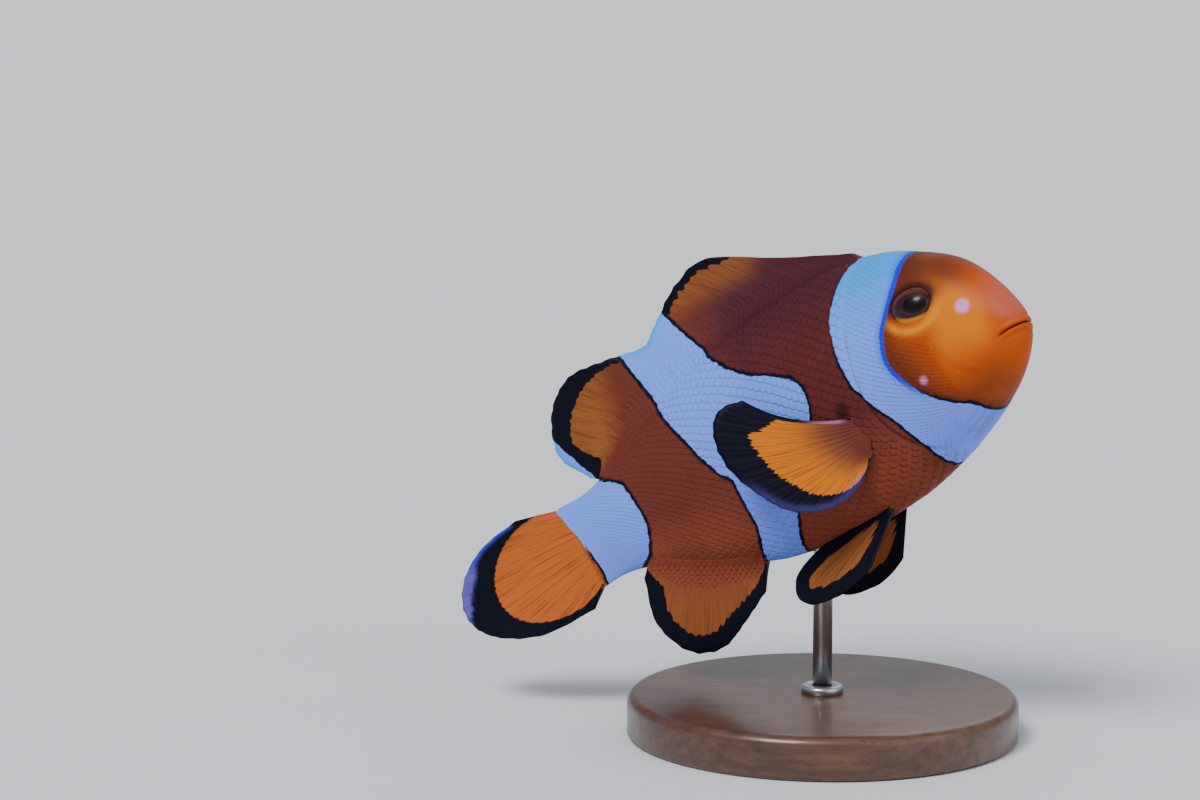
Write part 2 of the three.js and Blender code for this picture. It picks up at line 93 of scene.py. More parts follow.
# Pupil and dark iris on a ball of radius 1: forward, up, half length, half height.
EYE_RINGS = {"pupil": (0.26, -0.14, 0.44, 0.39), "iris": (0.14, -0.15, 0.82, 0.57)}
MOUTH = {"line": -0.29, "droop": 0.50, "corner": 2.3, "curve": 1.6, "fade": (2.9, 1.5)}
NOSTRIL = {"t": 0.070, "h": 0.063}
# A painted highlight round each nostril, and a pale spot low on each cheek.
NOSTRIL_HIGHLIGHT_AND_CHEEK_SPOT = [
    {"t": 0.070, "h": 0.062, "core": 0.58, "end": 1.18, "strength": 0.95},
    {"t": 0.190, "h": -0.028, "core": 0.22, "end": 0.77, "strength": 0.60},
]
FIN_BLOTCH = {"t": 0.379, "v": -0.115, "radius": 1.15, "reach": 14.0, "dark": 1.3}

SPINY_DORSAL = {
    "rays": 11,
    "root": (0.266, 0.668),
    "tips": [(0.288, 0.238), (0.420, 0.292), (0.552, 0.354), (0.625, 0.337), (0.675, 0.299),
             (0.712, 0.264)],
    "wave": (0.9, 0.6, 0.15),
}
SOFT_DORSAL = {
    "rays": 14,
    "root": (0.677, 0.886),
    "tips": [(0.728, 0.264), (0.800, 0.276), (0.868, 0.280), (0.930, 0.240), (0.957, 0.168),
             (0.920, 0.104)],
    "wave": (-1.1, 0.9, 0.0),
}
ANAL = {
    "rays": 12,
    "root": (0.668, 0.880),
    "tips": [(0.700, -0.232), (0.765, -0.262), (0.835, -0.285), (0.900, -0.262), (0.932, -0.190),
             (0.908, -0.108)],
    "wave": (0.8, 0.7, 0.15),
}
CAUDAL = {
    "rays": 15,
    "root": 1.004,
    "height": 0.078,
    "tips": [(1.078, 0.106), (1.166, 0.101), (1.232, 0.074), (1.264, 0.030), (1.257, -0.018),
             (1.216, -0.063), (1.145, -0.099), (1.042, -0.117)],
    "wave": (0.9, 1.2, 0.15),
}
PECTORAL = {
    "rays": 17,
    "s": 0.372,
    "h": -0.070,
    "span": 0.088,
    "outward": 28.0,
    "fan": [(-42, 0.226), (-30, 0.252), (-15, 0.240), (5, 0.201), (25, 0.170), (50, 0.120), (78, 0.058)],
    "bow": 1.7,  # how far the first ray bends towards the others
}
PELVIC = {
    "rays": 6,
    "s": 0.405,
    "side": 0.030,
    "span": 0.022,
    "outward": 26.0,
    "fan": [(4, 0.150), (14, 0.214), (27, 0.224), (41, 0.178), (58, 0.104)],
    "bow": 0.4,
}
RAY_REACH = 0.20
SUNK_ROOT = 1.2

# ---------------- small tools


def slope(x, start, full):
    """0 up to start, 1 from full on and an even slope between; full may lie on either side of start."""
    share = np.clip((x - start) / (full - start), 0, 1)
    return share * share * (3 - 2 * share)


def mixed(a, b, share):
    """a where share is 0, b where it is 1."""
    return a + (b - a) * share


def eased(x, first, last, start, full):
    """first up to start, last from full on, with an even slope between."""
    return mixed(first, last, slope(x, start, full))


def window(x, start, full, last, end):
    """1 from full to last, 0 before start and after end, with an even slope on both sides."""
    return slope(x, start, full) * slope(x, end, last)


def hump(x, width):
    """A rounded ridge of height 1 at x = 0."""
    return np.exp(-np.square(x / width))


def waves(rows, x, r=0):
    """Sum of waves from rows of size, rate along x, rate along r and start."""
    return sum(size * np.cos(along * x + out * r + start) for size, along, out, start in rows)


def unit(rows):
    """Rows of vectors, each brought to length 1."""
    return rows / np.linalg.norm(rows, axis=-1, keepdims=True)


def curve_through(xs, ys, x, rounded=False):
    """Smooth curve through the points (xs, ys), read at every x; monotone unless rounded."""
    xs, ys = np.asarray(xs, float), np.asarray(ys, float)
    x = np.asarray(x, float)
    rate = np.diff(ys) / np.diff(xs)
    before, after = rate[:-1], rate[1:]
    same_way = before * after > 0
    tangent = np.concatenate([rate[:1], np.zeros(len(xs) - 2), rate[-1:]])
    tangent[1:-1][same_way] = 2 * (before * after)[same_way] / (before + after)[same_way]
    if rounded:
        tangent[1:-1] = (before + after) / 2
    i = np.clip(np.searchsorted(xs, x, side="left") - 1, 0, len(xs) - 2)
    span = xs[i + 1] - xs[i]
    t = np.clip((x - xs[i]) / span, 0, 1)
    start = (1 + 2 * t) * (1 - t) ** 2 * ys[i] + t * (1 - t) ** 2 * span * tangent[i]
    return start + t * t * (3 - 2 * t) * ys[i + 1] + t * t * (t - 1) * span * tangent[i + 1]


def curve_of(rows, x):
    """Curve through rows of (place, value), read at every x."""
    places, values = zip(*rows)
    return curve_through(places, values, x)


def along_rows(rows, u):
    """Rows of numbers read at u in 0..1 with even spacing; one array for each column."""
    rows = np.asarray(rows, float)
    places = np.linspace(0, 1, len(rows))
    return [curve_through(places, column, u, rounded=True) for column in rows.T]


# ---------------- the fish's own space


def turned(degrees, axis):
    """Matrix that turns by degrees about axis 0, 1 or 2."""
    angle = math.radians(degrees)
    matrix = np.eye(3)
    first, second = (axis + 1) % 3, (axis + 2) % 3
    matrix[first, first] = matrix[second, second] = math.cos(angle)
    matrix[first, second] = -math.sin(angle)
    matrix[second, first] = math.sin(angle)
    return matrix


def build_spine():
    """Place, forward, left and up of the bent and tilted spine, a row every SPINE_STEP."""
    s = np.arange(SPINE_START, SPINE_END + SPINE_STEP / 2, SPINE_STEP)
    middle = BEND_CENTRE * BODY_LENGTH
    ahead = np.clip((middle - s) / middle, 0, HEAD_BEND["most"]) ** BEND_POWER
    behind = np.clip((s - middle) / (BEND_END * BODY_LENGTH - middle), 0, TAIL_BEND["most"])
    behind = behind ** BEND_POWER
    turn = np.radians(TAIL_BEND["turn"] * behind - HEAD_BEND["turn"] * ahead)
    dip = np.radians(TAIL_BEND["dip"] * behind - HEAD_BEND["dip"] * ahead)
    forward = np.stack([np.cos(turn) * np.cos(dip), np.sin(turn) * np.cos(dip), np.sin(dip)], 1)
    left = np.stack([-np.sin(turn), np.cos(turn), np.zeros_like(turn)], 1)
    up = np.cross(forward, left)
    steps = (forward[1:] + forward[:-1]) * SPINE_STEP / 2
    at = -np.concatenate([np.zeros((1, 3)), np.cumsum(steps, axis=0)])
    tilt = turned(ATTITUDE["heading"], 2) @ turned(-ATTITUDE["pitch"], 1) @ turned(ATTITUDE["roll"], 0)
    at = (at - at[np.searchsorted(s, middle)]) @ tilt.T + FISH_AT
    return at, forward @ tilt.T, left @ tilt.T, up @ tilt.T


SPINE = build_spine()
ROW_GAP = 0.001  # how far short of the spine's last row it is read
FIRST_S = 0.01  # millimetres behind the snout's tip, where slopes can be read


def spine_at(s):
    """Place, forward, left and up of the spine at every s."""
    last = len(SPINE[0]) - 1 - ROW_GAP
    place = np.clip((np.asarray(s, float) - SPINE_START) / SPINE_STEP, 0, last)
    i = place.astype(int)
    share = (place - i)[..., None]
    return [mixed(rows[i], rows[i + 1], share) for rows in SPINE]


def fish_point(s, h, w):
    """Fish coordinates to the model's: s back from the snout, h up and w to the fish's left."""
    at, _, left, up = spine_at(s)
    return at + up * np.asarray(h)[..., None] + left * np.asarray(w)[..., None]


def section_at(s, tapered=False):
    """Back height, belly depth, half width and height of the widest point, at every s."""
    t = np.clip(np.asarray(s, float) / BODY_LENGTH, 0, 1)
    roots = np.sqrt(SECTIONS[:, 0])
    back, belly, half, widest = (
        BODY_LENGTH * curve_through(roots, column, np.sqrt(t)) for column in SECTIONS.T[1:])
    if tapered:
        half = half * eased(t, 1, STALK_TAPER["share"], STALK_TAPER["from"], 1)
    return back, belly, half, widest


def side_point(s, a, tapered=True):
    """Point of the body surface: s along it, angle a round it (0 left, 90 back, 180 right, 270 belly)."""
    back, belly, half, widest = section_at(s, tapered)
    v = np.sin(a)
    reach = np.where(v > 0, back - widest, belly + widest)
    return fish_point(s, widest + reach * v, half * np.cos(a))


def side_slopes(s, a, step_s=0.25, step_a=0.01, tapered=True):
    """How the surface point moves for each millimetre of s and each radian of a."""
    low = np.maximum(s - step_s, FIRST_S)
    along = side_point(s + step_s, a, tapered) - side_point(low, a, tapered)
    round_it = side_point(s, a + step_a, tapered) - side_point(s, a - step_a, tapered)
    return along / np.asarray(s + step_s - low)[..., None], round_it / (2 * step_a)


def side_normal(s, a, **steps):
    """Outward direction of the body surface."""
    return unit(np.cross(*side_slopes(s, a, **steps)))


def gill_edge(a):
    """s of the rear edge of the gill cover, read round the body."""
    v = np.sin(a)
    end = np.where(v > 0, GILL_EDGE["back"], GILL_EDGE["belly"])
    return BODY_LENGTH * mixed(GILL_EDGE["middle"], end, v * v)


GILL_STATION = 20.2  # the even station that is bent to follow the gill edge
WARP_START = 3.0
WARP_END = 46.0


def bent_station(station, a):
    """s of a station that is even at both ends and follows the gill edge in between."""
    before = slope(station, WARP_START, GILL_STATION)
    after = slope(station, WARP_END, GILL_STATION)
    return station + np.where(station < GILL_STATION, before, after) * (gill_edge(a) - GILL_STATION)


# ---------------- markings
# Fields in millimetres, above 0 inside the marking. The materials turn them into colour.

# Edges of the white bars: [height on the side from -1 belly to 1 back (2 on the fin), share of the length].
HEAD_BAR = {
    "front": [(-1.0, 0.128), (-0.80, 0.137), (-0.64, 0.162), (-0.41, 0.197), (-0.16, 0.227), (0.09, 0.246),
              (0.26, 0.238), (0.50, 0.209), (0.72, 0.187), (1.0, 0.170)],
    "rear": [(-1.0, 0.250), (-0.70, 0.262), (-0.47, 0.279), (-0.29, 0.299), (-0.14, 0.319), (0.09, 0.341),
             (0.31, 0.345), (0.52, 0.341), (0.73, 0.319), (0.91, 0.292), (1.0, 0.272), (1.4, 0.260)],
}
HEAD_BAR_MIDDLE = 5  # row of the rear edge that is halfway up the side
MIDDLE_BAR = {
    "front": [(-1.5, 0.600), (-1.0, 0.590), (-0.70, 0.560), (-0.35, 0.510), (-0.10, 0.458), (0.05, 0.441),
              (0.17, 0.438), (0.31, 0.456), (0.39, 0.484), (0.53, 0.536), (0.73, 0.579), (0.95, 0.611),
              (1.28, 0.636), (1.70, 0.659), (2.0, 0.672)],
    "rear": [(-1.5, 0.690), (-1.0, 0.668), (-0.60, 0.640), (-0.19, 0.641), (-0.09, 0.658), (0.48, 0.706),
             (0.99, 0.736), (2.0, 0.768)],
}
TAIL_BAR = {
    "front": [(-2.0, 0.960), (-1.0, 0.905), (-0.73, 0.870), (-0.14, 0.843), (0.45, 0.853), (0.95, 0.900),
              (2.0, 0.960)],
    "rear": [(-1.5, 0.985), (-0.57, 0.975), (0.0, 0.982), (0.41, 0.992), (1.0, 1.004), (1.5, 1.025)],
}
DISC = {"s": 76.3, "h": 0.0, "long": 9.3, "tall": 6.8, "teeth": 0.20}

EDGE_STEP = 0.02  # height over which the lean of a bar's edge is read
LEAST_HEIGHT = 6.0  # of the body, where that lean is turned into millimetres
FAR = 9.0  # distance from a marking that leaves a part plain


def edge_at(edge, height):
    """s of an edge drawn as rows of (height on the side, share of the length), at every height."""
    return BODY_LENGTH * curve_of(edge, height)


def bar_field(bar, s, height):
    """Distance inside a white bar, and the distance behind its front edge."""
    distances = []
    reach = np.maximum(section_at(s)[0], LEAST_HEIGHT)
    for edge, way in (("front", 1), ("rear", -1)):
        here = edge_at(bar[edge], height)
        lean = (edge_at(bar[edge], height + EDGE_STEP) - here) / (EDGE_STEP * reach)
        distances.append(way * (s - here) / np.sqrt(1 + lean * lean))
    return np.minimum(*distances), distances[0]


def markings(s, height):
    """The marking fields that skin and scales share."""
    (head, behind_front), (middle, _), (tail, _) = (
        bar_field(bar, s, height) for bar in (HEAD_BAR, MIDDLE_BAR, TAIL_BAR))
    head_end = HEAD_BAR["rear"][HEAD_BAR_MIDDLE][1] * BODY_LENGTH
    return {
        "station": s / BODY_LENGTH,
        "height": height,
        "bar": np.maximum.reduce([head, middle, tail]),
        "bar_front": np.where(s < head_end, behind_front, FAR),
    }


PLAIN = {"station": 0.0, "height": 0.0, "bar": -FAR, "bar_front": FAR, "fin": 0.0, "black": -FAR,
         "rim": FAR, "ray": 0.0, "reach": 0.0, "crease": 0.0, "tone": 0.5, "amber": 0.0, "pale": 0.0,
         "glow": 0.0, "brow": 0.0, "known": 1.0}


def with_defaults(fields, count):
    """A part's own fields, and the rest at the value that leaves it plain."""
    return {name: np.broadcast_to(values, count) for name, values in {**PLAIN, **fields}.items()}


# ---------------- meshes


def new_mesh(name, points, faces, fields=None, flat=()):
    """Mesh from points in millimetres and arrays of faces of equal size; fields become attributes."""
    mesh = bpy.data.meshes.new(name)
    points = np.asarray(points, np.float32).reshape(-1, 3) * MM
    groups = [np.asarray(group) for group in faces if len(group)]
    sizes = np.concatenate([np.full(len(group), group.shape[1]) for group in groups])
    corners = np.concatenate([group.ravel() for group in groups])
    mesh.vertices.add(len(points))
    mesh.vertices.foreach_set("co", points.ravel())
    mesh.loops.add(len(corners))
    mesh.loops.foreach_set("vertex_index", corners.astype(np.int32))
    mesh.polygons.add(len(sizes))
    mesh.polygons.foreach_set("loop_start", np.concatenate([[0], np.cumsum(sizes)[:-1]]).astype(np.int32))
    sharp = np.concatenate([np.full(len(group), i in flat) for i, group in enumerate(groups)])
    mesh.update(calc_edges=True)
    mesh.polygons.foreach_set("use_smooth", ~sharp)
    for key, values in (fields or {}).items():
        attribute = mesh.attributes.new(key, "FLOAT", "POINT")
        attribute.data.foreach_set("value", np.ascontiguousarray(values, np.float32))
    mesh.validate()
    return mesh


def new_piece(name, mesh):
    """Object of a mesh, linked to the scene."""
    piece = bpy.data.objects.new(name, mesh)
    bpy.context.scene.collection.objects.link(piece)
    return piece


def grid_faces(columns, rows, closed=False, start=0):
    """Quads of a grid of columns x rows points; closed joins the last row to the first."""
    i, j = np.meshgrid(np.arange(columns - 1), np.arange(rows if closed else rows - 1), indexing="ij")
    here = i * rows + j
    beside = i * rows + (j + 1) % rows
    return np.stack([here, beside, beside + rows, here + rows], -1).reshape(-1, 4) + start


# ---------------- body


GILL_STEPS = np.array([-0.60, -0.35, -0.18, -0.06, 0.03, 0.14, 0.30, 0.55])
GILL_CLEAR = 0.7  # from the gill edge to the nearest even station


def body_stations(count=212):
    """Stations down the body, close together at the snout and at the gill edge."""
    even = BODY_LENGTH * (np.arange(1, count + 1) / count) ** 2
    far = np.abs(even - GILL_STATION) > GILL_CLEAR
    return np.sort(np.concatenate([even[far], GILL_STATION + GILL_STEPS]))


# Ridges and grooves side by side: place, width, height over the skin, and how dark, which is painted shade
# in the grooves.
MOUTH_FOLDS = [
    (0.00, 0.14, -0.42, 1.00),  # the slit
    (0.44, 0.26, 0.09, 0.00),  # upper lip
    (-0.42, 0.24, 0.0765, 0.00),  # lower lip
    (0.98, 0.20, -0.07, 0.12),
    (-0.92, 0.20, -0.07, 0.12),
]
NOSTRIL_FOLDS = [(0.42, 0.17, 0.08, 0.0), (0.0, 0.22, -0.30, 0.0), (0.0, 0.18, 0.0, 0.30)]
BONE_FOLDS = [(-0.42, 0.40, 0.05, 0.0), (0.12, 0.26, -0.12, 0.30)]
CHEEK_FOLDS = [(-0.50, 0.50, 0.03, 0.0), (0.0, 0.30, -0.08, 0.15)]
CHIN_FOLDS = [(place, 0.014, -0.10, 0.35) for place in (-0.865, -0.925, -0.968, -0.992)]
# Lines that the folds of the cheek follow, as rows of (height on the side, share of the length).
BONE_LINE = [(-0.85, 0.118), (-0.64, 0.152), (-0.41, 0.188), (-0.16, 0.216), (0.10, 0.230), (0.30, 0.226)]
CHEEK_LINE = [(-0.60, 0.085), (-0.45, 0.108), (-0.25, 0.128), (0.0, 0.142), (0.14, 0.150)]
# Windows in which each shows: up the side, and for the chin back from the snout.
BONE_SHOWN = (-0.90, -0.75, 0.12, 0.32)
CHEEK_SHOWN = (-0.65, -0.50, 0.05, 0.15)
CHIN_SHOWN = (6.0, 9.0, 13.0, 16.0)
GILL_COVER = {"shown": (-0.93, -0.73, 0.28, 0.53), "raised": 0.10, "swell": 2.0, "step": 0.30,
              "run_out": 0.9, "line": (0.12, 0.16, 0.0, 0.30)}


def folds(x, rows, shown=1):
    """Height of ridges and grooves across x, and the painted shade in them, where shown is 1."""
    relief = dark = 0
    for place, width, height, shade in rows:
        line = shown * hump(x - place, width)
        relief, dark = relief + height * line, dark + shade * line
    return relief, dark


def gill_relief(s, a):
    """The gill cover's raised rear edge and the step down behind it."""
    behind = s - gill_edge(a)
    shown = window(np.sin(a), *GILL_COVER["shown"])
    plate = GILL_COVER["raised"] * np.exp(np.minimum(behind, 0) / GILL_COVER["swell"])
    drop = -GILL_COVER["step"] * np.exp(-np.maximum(behind, 0) / GILL_COVER["run_out"])
    return shown * np.where(behind > 0, drop, plate), folds(behind, [GILL_COVER["line"]], shown)[1]


def place_on_sides(t, h):
    """The two points of the body's sides at a share of the length and a height."""
    s = np.array(t * BODY_LENGTH)
    back, belly, _, widest = section_at(s)
    above = h * BODY_LENGTH - widest
    lift = math.asin(above / (back - widest if above > 0 else belly + widest))
    return [side_point(s, np.array(a)) for a in (lift, math.pi - lift)]


def nostril_highlight_and_cheek_spot(points):
    """Pale lilac spots: a large one round each nostril, which is a painted highlight, and a small one low
    on each cheek.
    """
    spots = 0
    for spot in NOSTRIL_HIGHLIGHT_AND_CHEEK_SPOT:
        for middle in place_on_sides(spot["t"], spot["h"]):
            away = np.linalg.norm(points - middle, axis=-1)
            spots = spots + spot["strength"] * slope(away, spot["end"], spot["core"])
    return spots


def skin_relief(s, a):
    """Height of the skin's folds and edges over the plain body, and how dark each place is: painted shade
    in the folds, the mouth's slit and the nostril pits, and the real dark blotch by the breast fin.
    """
    v = np.sin(a)
    back, belly, _, widest = section_at(s, True)
    h = widest + np.where(v > 0, back - widest, belly + widest) * v
    over_mouth = h - MOUTH["line"] + MOUTH["droop"] * (s / MOUTH["corner"]) ** MOUTH["curve"]
    beside = np.hypot(s - FIN_BLOTCH["t"] * BODY_LENGTH, (v - FIN_BLOTCH["v"]) * FIN_BLOTCH["reach"])
    points = side_point(s, a)
    # The fold rows paint shade into the grooves, the slit and the pits; the blotch is a dark mark of the
    # skin.
    parts = [
        folds(over_mouth, MOUTH_FOLDS, slope(s, *MOUTH["fade"])),
        gill_relief(s, a),
        folds(s - edge_at(BONE_LINE, v), BONE_FOLDS, window(v, *BONE_SHOWN)),
        folds(s - edge_at(CHEEK_LINE, v), CHEEK_FOLDS, window(v, *CHEEK_SHOWN)),
        folds(v, CHIN_FOLDS, window(s, *CHIN_SHOWN)),
        (0, FIN_BLOTCH["dark"] * hump(beside, FIN_BLOTCH["radius"])),
    ]
    for middle in place_on_sides(NOSTRIL["t"], NOSTRIL["h"]):
        parts.append(folds(np.linalg.norm(points - middle, axis=-1), NOSTRIL_FOLDS))
    relief, crease = zip(*parts)
    return sum(relief), sum(crease)


def build_body(depth, around=160):
    """Closed skin of the head, trunk and tail stalk, depth inside the body and without fins."""
    a, station = np.meshgrid(2 * np.pi * np.arange(around) / around, body_stations())
    s = np.minimum(bent_station(station, a), BODY_LENGTH)
    relief, crease = skin_relief(s, a)
    points = side_point(s, a) + side_normal(s, a) * (relief - depth)[..., None]
    at, forward, _, _ = spine_at(np.array([0.0, BODY_LENGTH]))
    ends = at + forward * [[-depth], [depth]]
    count = s.size
    ring = np.arange(around)
    beyond = (ring + 1) % around
    last = count - around
    front = np.stack([np.full(around, count), beyond, ring], 1)
    rear = np.stack([np.full(around, count + 1), last + ring, last + beyond], 1)
    faces = [grid_faces(len(station), around, closed=True), np.concatenate([front, rear])]
    fields = with_defaults({"crease": np.append(crease, [0, 0])}, count + 2)
    return new_mesh("body", np.concatenate([points.reshape(-1, 3), ends]), faces, fields)


# ---------------- eyes


def eye_place(side):
    """Angle round the body, centre and axes (forward, outward, up) of one eye; side 1 is the left."""
    s = np.array(EYE["s"] * BODY_LENGTH)
    back, _, _, widest = section_at(s)
    lift = math.asin((EYE["h"] * BODY_LENGTH - widest) / (back - widest))
    a = np.array(lift if side > 0 else math.pi - lift)
    outward = side_normal(s, a, step_s=EYE["level"] * BODY_LENGTH, step_a=EYE["level"])
    forward = spine_at(s)[1]
    forward = unit(forward - outward * (forward @ outward))
    upward = side * np.cross(forward, outward)
    centre = side_point(s, a) + outward * (EYE["proud"] - EYE["deep"])
    return a, centre, np.stack([forward, outward, upward])


EYE_RADII = np.array([EYE["long"], EYE["deep"], EYE["tall"]])
EYES = {side: eye_place(side) for side in (1, -1)}


def in_eye(points, side):
    """How far points are from an eye's centre, as a share of the eyeball's radius that way."""
    _, centre, axes = EYES[side]
    return np.linalg.norm((points - centre) @ axes.T / EYE_RADII, axis=-1)


def eye_gap(points, side):
    """Distance from an eye's rim, in millimetres, below 0 under the eye."""
    return (in_eye(points, side) - 1) * EYE_RADII.mean()


# Skin round the eye: distance from the rim, width, strength, and the heights where it starts and is full.
# The brow rows are painted shade over the eye and round its rim.
EYE_MARKS = {
    "glow": [(0.78, 0.42, 1.0, -0.10, -0.80)],
    "brow": [(0.15, 0.85, 1.0, -0.45, 0.45), (0.10, 0.26, 0.7, -0.80, -0.10)],
}


def eye_marks(points):
    """The bright crescent of skin under each eye, and the painted shade over it and round its rim."""
    marks = dict.fromkeys(EYE_MARKS, 0)
    for side, (_, centre, axes) in EYES.items():
        away = eye_gap(points, side)
        upward = (points - centre) @ axes[2] / EYE["tall"]
        for name, rows in EYE_MARKS.items():
            for place, width, strength, start, full in rows:
                mark = strength * hump(away - place, width) * slope(upward, start, full)
                marks[name] = marks[name] + mark
    return marks


RIM_LIMITS = (0.5, 6.0)  # the rim is sought between these distances from the eye's middle
RIM_ROUNDS = 30


def eye_rim(side, around=72):
    """Where the eyeball comes out of the body: (s, a) centre, unit ways and reach, round the eye."""
    a0 = EYES[side][0]
    s0 = EYE["s"] * BODY_LENGTH
    along, round_it = side_slopes(np.array(s0), a0)
    way = 2 * np.pi * np.arange(around) / around
    ds = np.cos(way) / np.linalg.norm(along)
    da = np.sin(way) / np.linalg.norm(round_it)
    low, high = (np.full(around, limit) for limit in RIM_LIMITS)
    for _ in range(RIM_ROUNDS):
        reach = (low + high) / 2
        inside = in_eye(side_point(s0 + reach * ds, a0 + reach * da), side) < 1
        low = np.where(inside, reach, low)
        high = np.where(inside, high, reach)
    return s0, a0, ds, da, reach


# Section of the lid fold: distance out from the eyeball, height over the skin.
LID_SECTION = [(-0.50, -0.70), (-0.16, -0.08), (-0.02, 0.05), (0.14, 0.10), (0.34, 0.09), (0.60, 0.03),
               (0.95, -0.04), (1.40, -0.13), (1.15, -0.60), (0.30, -0.85)]


def build_lid(side, depth):
    """Soft fold of skin round one eye, as a closed ring."""
    s0, a0, ds, da, reach = eye_rim(side)
    out, lift = np.array(LID_SECTION[::-side]).T[..., None]
    s = s0 + (reach + out) * ds
    a = a0 + (reach + out) * da
    points = side_point(s, a) + side_normal(s, a) * (lift - depth)[..., None]
    around = len(reach)
    i, j = np.meshgrid(np.arange(len(out)), np.arange(around), indexing="ij")
    here, beside = i * around + j, i * around + (j + 1) % around
    faces = np.stack([here, beside, (beside + around) % s.size, (here + around) % s.size], -1)
    return new_mesh("lid", points, [faces.reshape(-1, 4)], with_defaults({}, s.size))


def eyeball_points(side, shrink, rings, around):
    """Grid of an eyeball's points from its outer pole inwards, and the same on a unit ball."""
    _, centre, axes = EYES[side]
    tilt, turn = np.meshgrid(np.linspace(0, np.pi, rings), 2 * np.pi * np.arange(around) / around,
                             indexing="ij")
    ball = np.stack([np.sin(tilt) * np.cos(turn), np.cos(tilt), np.sin(tilt) * np.sin(turn)], -1)
    return centre + ball * (EYE_RADII - shrink) @ axes, ball


def build_eyeball(name, side, shrink, rings=56, around=72):
    """Closed eyeball; its pupil and iris fields are 1 at the edge of each."""
    points, ball = eyeball_points(side, shrink, rings, around)
    fields = {"ball_up": ball[..., 2].ravel()}
    for ring in ("pupil", "iris"):
        forward, up, long, tall = EYE_RINGS[ring]
        away = np.hypot((ball[..., 0] - forward) / long, (ball[..., 2] - up) / tall)
        fields[ring] = np.where(ball[..., 1] > 0, away, FAR).ravel()
    mesh = new_mesh(name, points.reshape(-1, 3), [grid_faces(rings, around, closed=True)], fields)
    weld(mesh)
    return mesh


def weld(mesh, distance=1e-7):
    """Joins points that lie on each other and turns the faces outwards."""
    work = bmesh.new()
    work.from_mesh(mesh)
    bmesh.ops.remove_doubles(work, verts=work.verts, dist=distance)
    bmesh.ops.recalc_face_normals(work, faces=work.faces)
    work.to_mesh(mesh)
    work.free()


# ---------------- fins

FIN_THICK = {"web": 0.62, "edge": 0.24, "ray": 0.08, "thinning": 0.8}
RAY_HEIGHT = (1.5, 0.8)  # of the rays at the foot and at the tip, as shares of FIN_THICK's ray
FREE_EDGE = (1, 0.45, 0.975, 1)  # how the last of the way out thins
STIFF_RAY = (0.14, 0.08)  # half widths of an unbranched ray, at the foot and at the tip
SOFT_RAY = (0.12, 0.055, 0.20, 0.90)
RAY_SPLITS = [(0.17, 0.30, 0.80), (0.075, 0.60, 0.95)]  # how far the branches part, and where
FIN_RISE = 10.0  # millimetres up a fin that count as 1 of the height on the side
# Foot of a fin: its thickness, how soon it thins, and how far inside the body it starts to.
TAIL_FOOT = (1.35, 3.0, 0.0)
PAIRED_FOOT = (1.1, 0.9, 0.0)
FILLET = {"soon": 1.3, "start": 0.90, "under": 0.74}


def side_height(s, h):
    """Height on the side from -1 belly to 1 back, which runs on up the fins."""
    back, belly, _, widest = section_at(s)
    inside = np.where(h > widest, (h - widest) / (back - widest), (h - widest) / (belly + widest))
    below = -1 + (h + belly) / FIN_RISE
    return np.where(h > back, 1 + (h - back) / FIN_RISE, np.where(h < -belly, below, inside))


COARSE = 8  # rows of the spine that the first guess skips


def fish_place(points, rounds=8):
    """s along the spine and height over it of any points near the body."""
    start = np.linalg.norm(points[:, None] - SPINE[0][None, ::COARSE], axis=-1).argmin(1)
    s = SPINE_START + SPINE_STEP * COARSE * start
    for _ in range(rounds):
        at, forward, _, up = spine_at(s)
        s = np.clip(s - np.sum((points - at) * forward, axis=1), FIRST_S, BODY_LENGTH)
    return s, np.sum((points - at) * up, axis=1)


def ray_profile(x, r, branching):
    """Height of the fin rays, 0 to 1: x counts rays from the front, r is the share of the way out."""
    off = x - np.round(x)
    if not branching:
        return hump(off, mixed(*STIFF_RAY, r))
    first, second = (eased(r, 0, *split) for split in RAY_SPLITS)
    width = eased(r, *SOFT_RAY)
    return np.maximum.reduce([hump(off - one * first - two * second, width)
                              for one in (-1, 1) for two in (-1, 1)])


QUARTER = math.pi / 2
# Waves as rows of size, rate from ray to ray, rate on the way out, and start.
RAY_TIPS = [(0.3 * RAY_REACH, 2 * math.pi, 0, 0), (0.025, 5.3, 0, 1 - QUARTER), (0.02, 11.7, 0, -QUARTER)]
TEETH = [(0.20, 4 * math.pi, 0, 0), (0.12, 9.1, 5.0, -QUARTER), (0.06, 27.3, -3.0, 0)]
BREAST_TEETH = [(0.10, 2 * math.pi, 0, 0), (0.17, 6 * math.pi, 0, 1), (0.10, 11.3, 0, -QUARTER)]
TIP_INSET = 0.02
TIPS_FROM = 0.6  # share of the way out from which the tips change the outline


def margin_shape(x, r, length):
    """How far each column runs past the plain outline at r = 1, in shares of its length."""
    return 1 + slope(r, TIPS_FROM, 1) * (waves(RAY_TIPS, x) - TIP_INSET) / length


SIDE_RAY_START = 6  # the first of so many parts of a side ray isn't a free edge
EDGE_BATCH = 40  # points of the edge that are measured at once, to spare memory


def margin_gap(mid, front, rear):
    """Distance of every point from the fin's free edge; front and rear say which side rays are free."""
    first = mid.shape[1] // SIDE_RAY_START
    edges = [mid[:, -1]]
    if front:
        edges.append(mid[0, first:])
    if rear:
        edges.append(mid[-1, first:])
    edge = np.concatenate(edges)
    flat = mid.reshape(-1, 3)
    nearest = np.full(len(flat), np.inf)
    for part in np.array_split(edge, max(1, len(edge) // EDGE_BATCH)):
        away = np.linalg.norm(flat[:, None] - part[None], axis=-1).min(1)
        nearest = np.minimum(nearest, away)
    return nearest.reshape(mid.shape[:2])


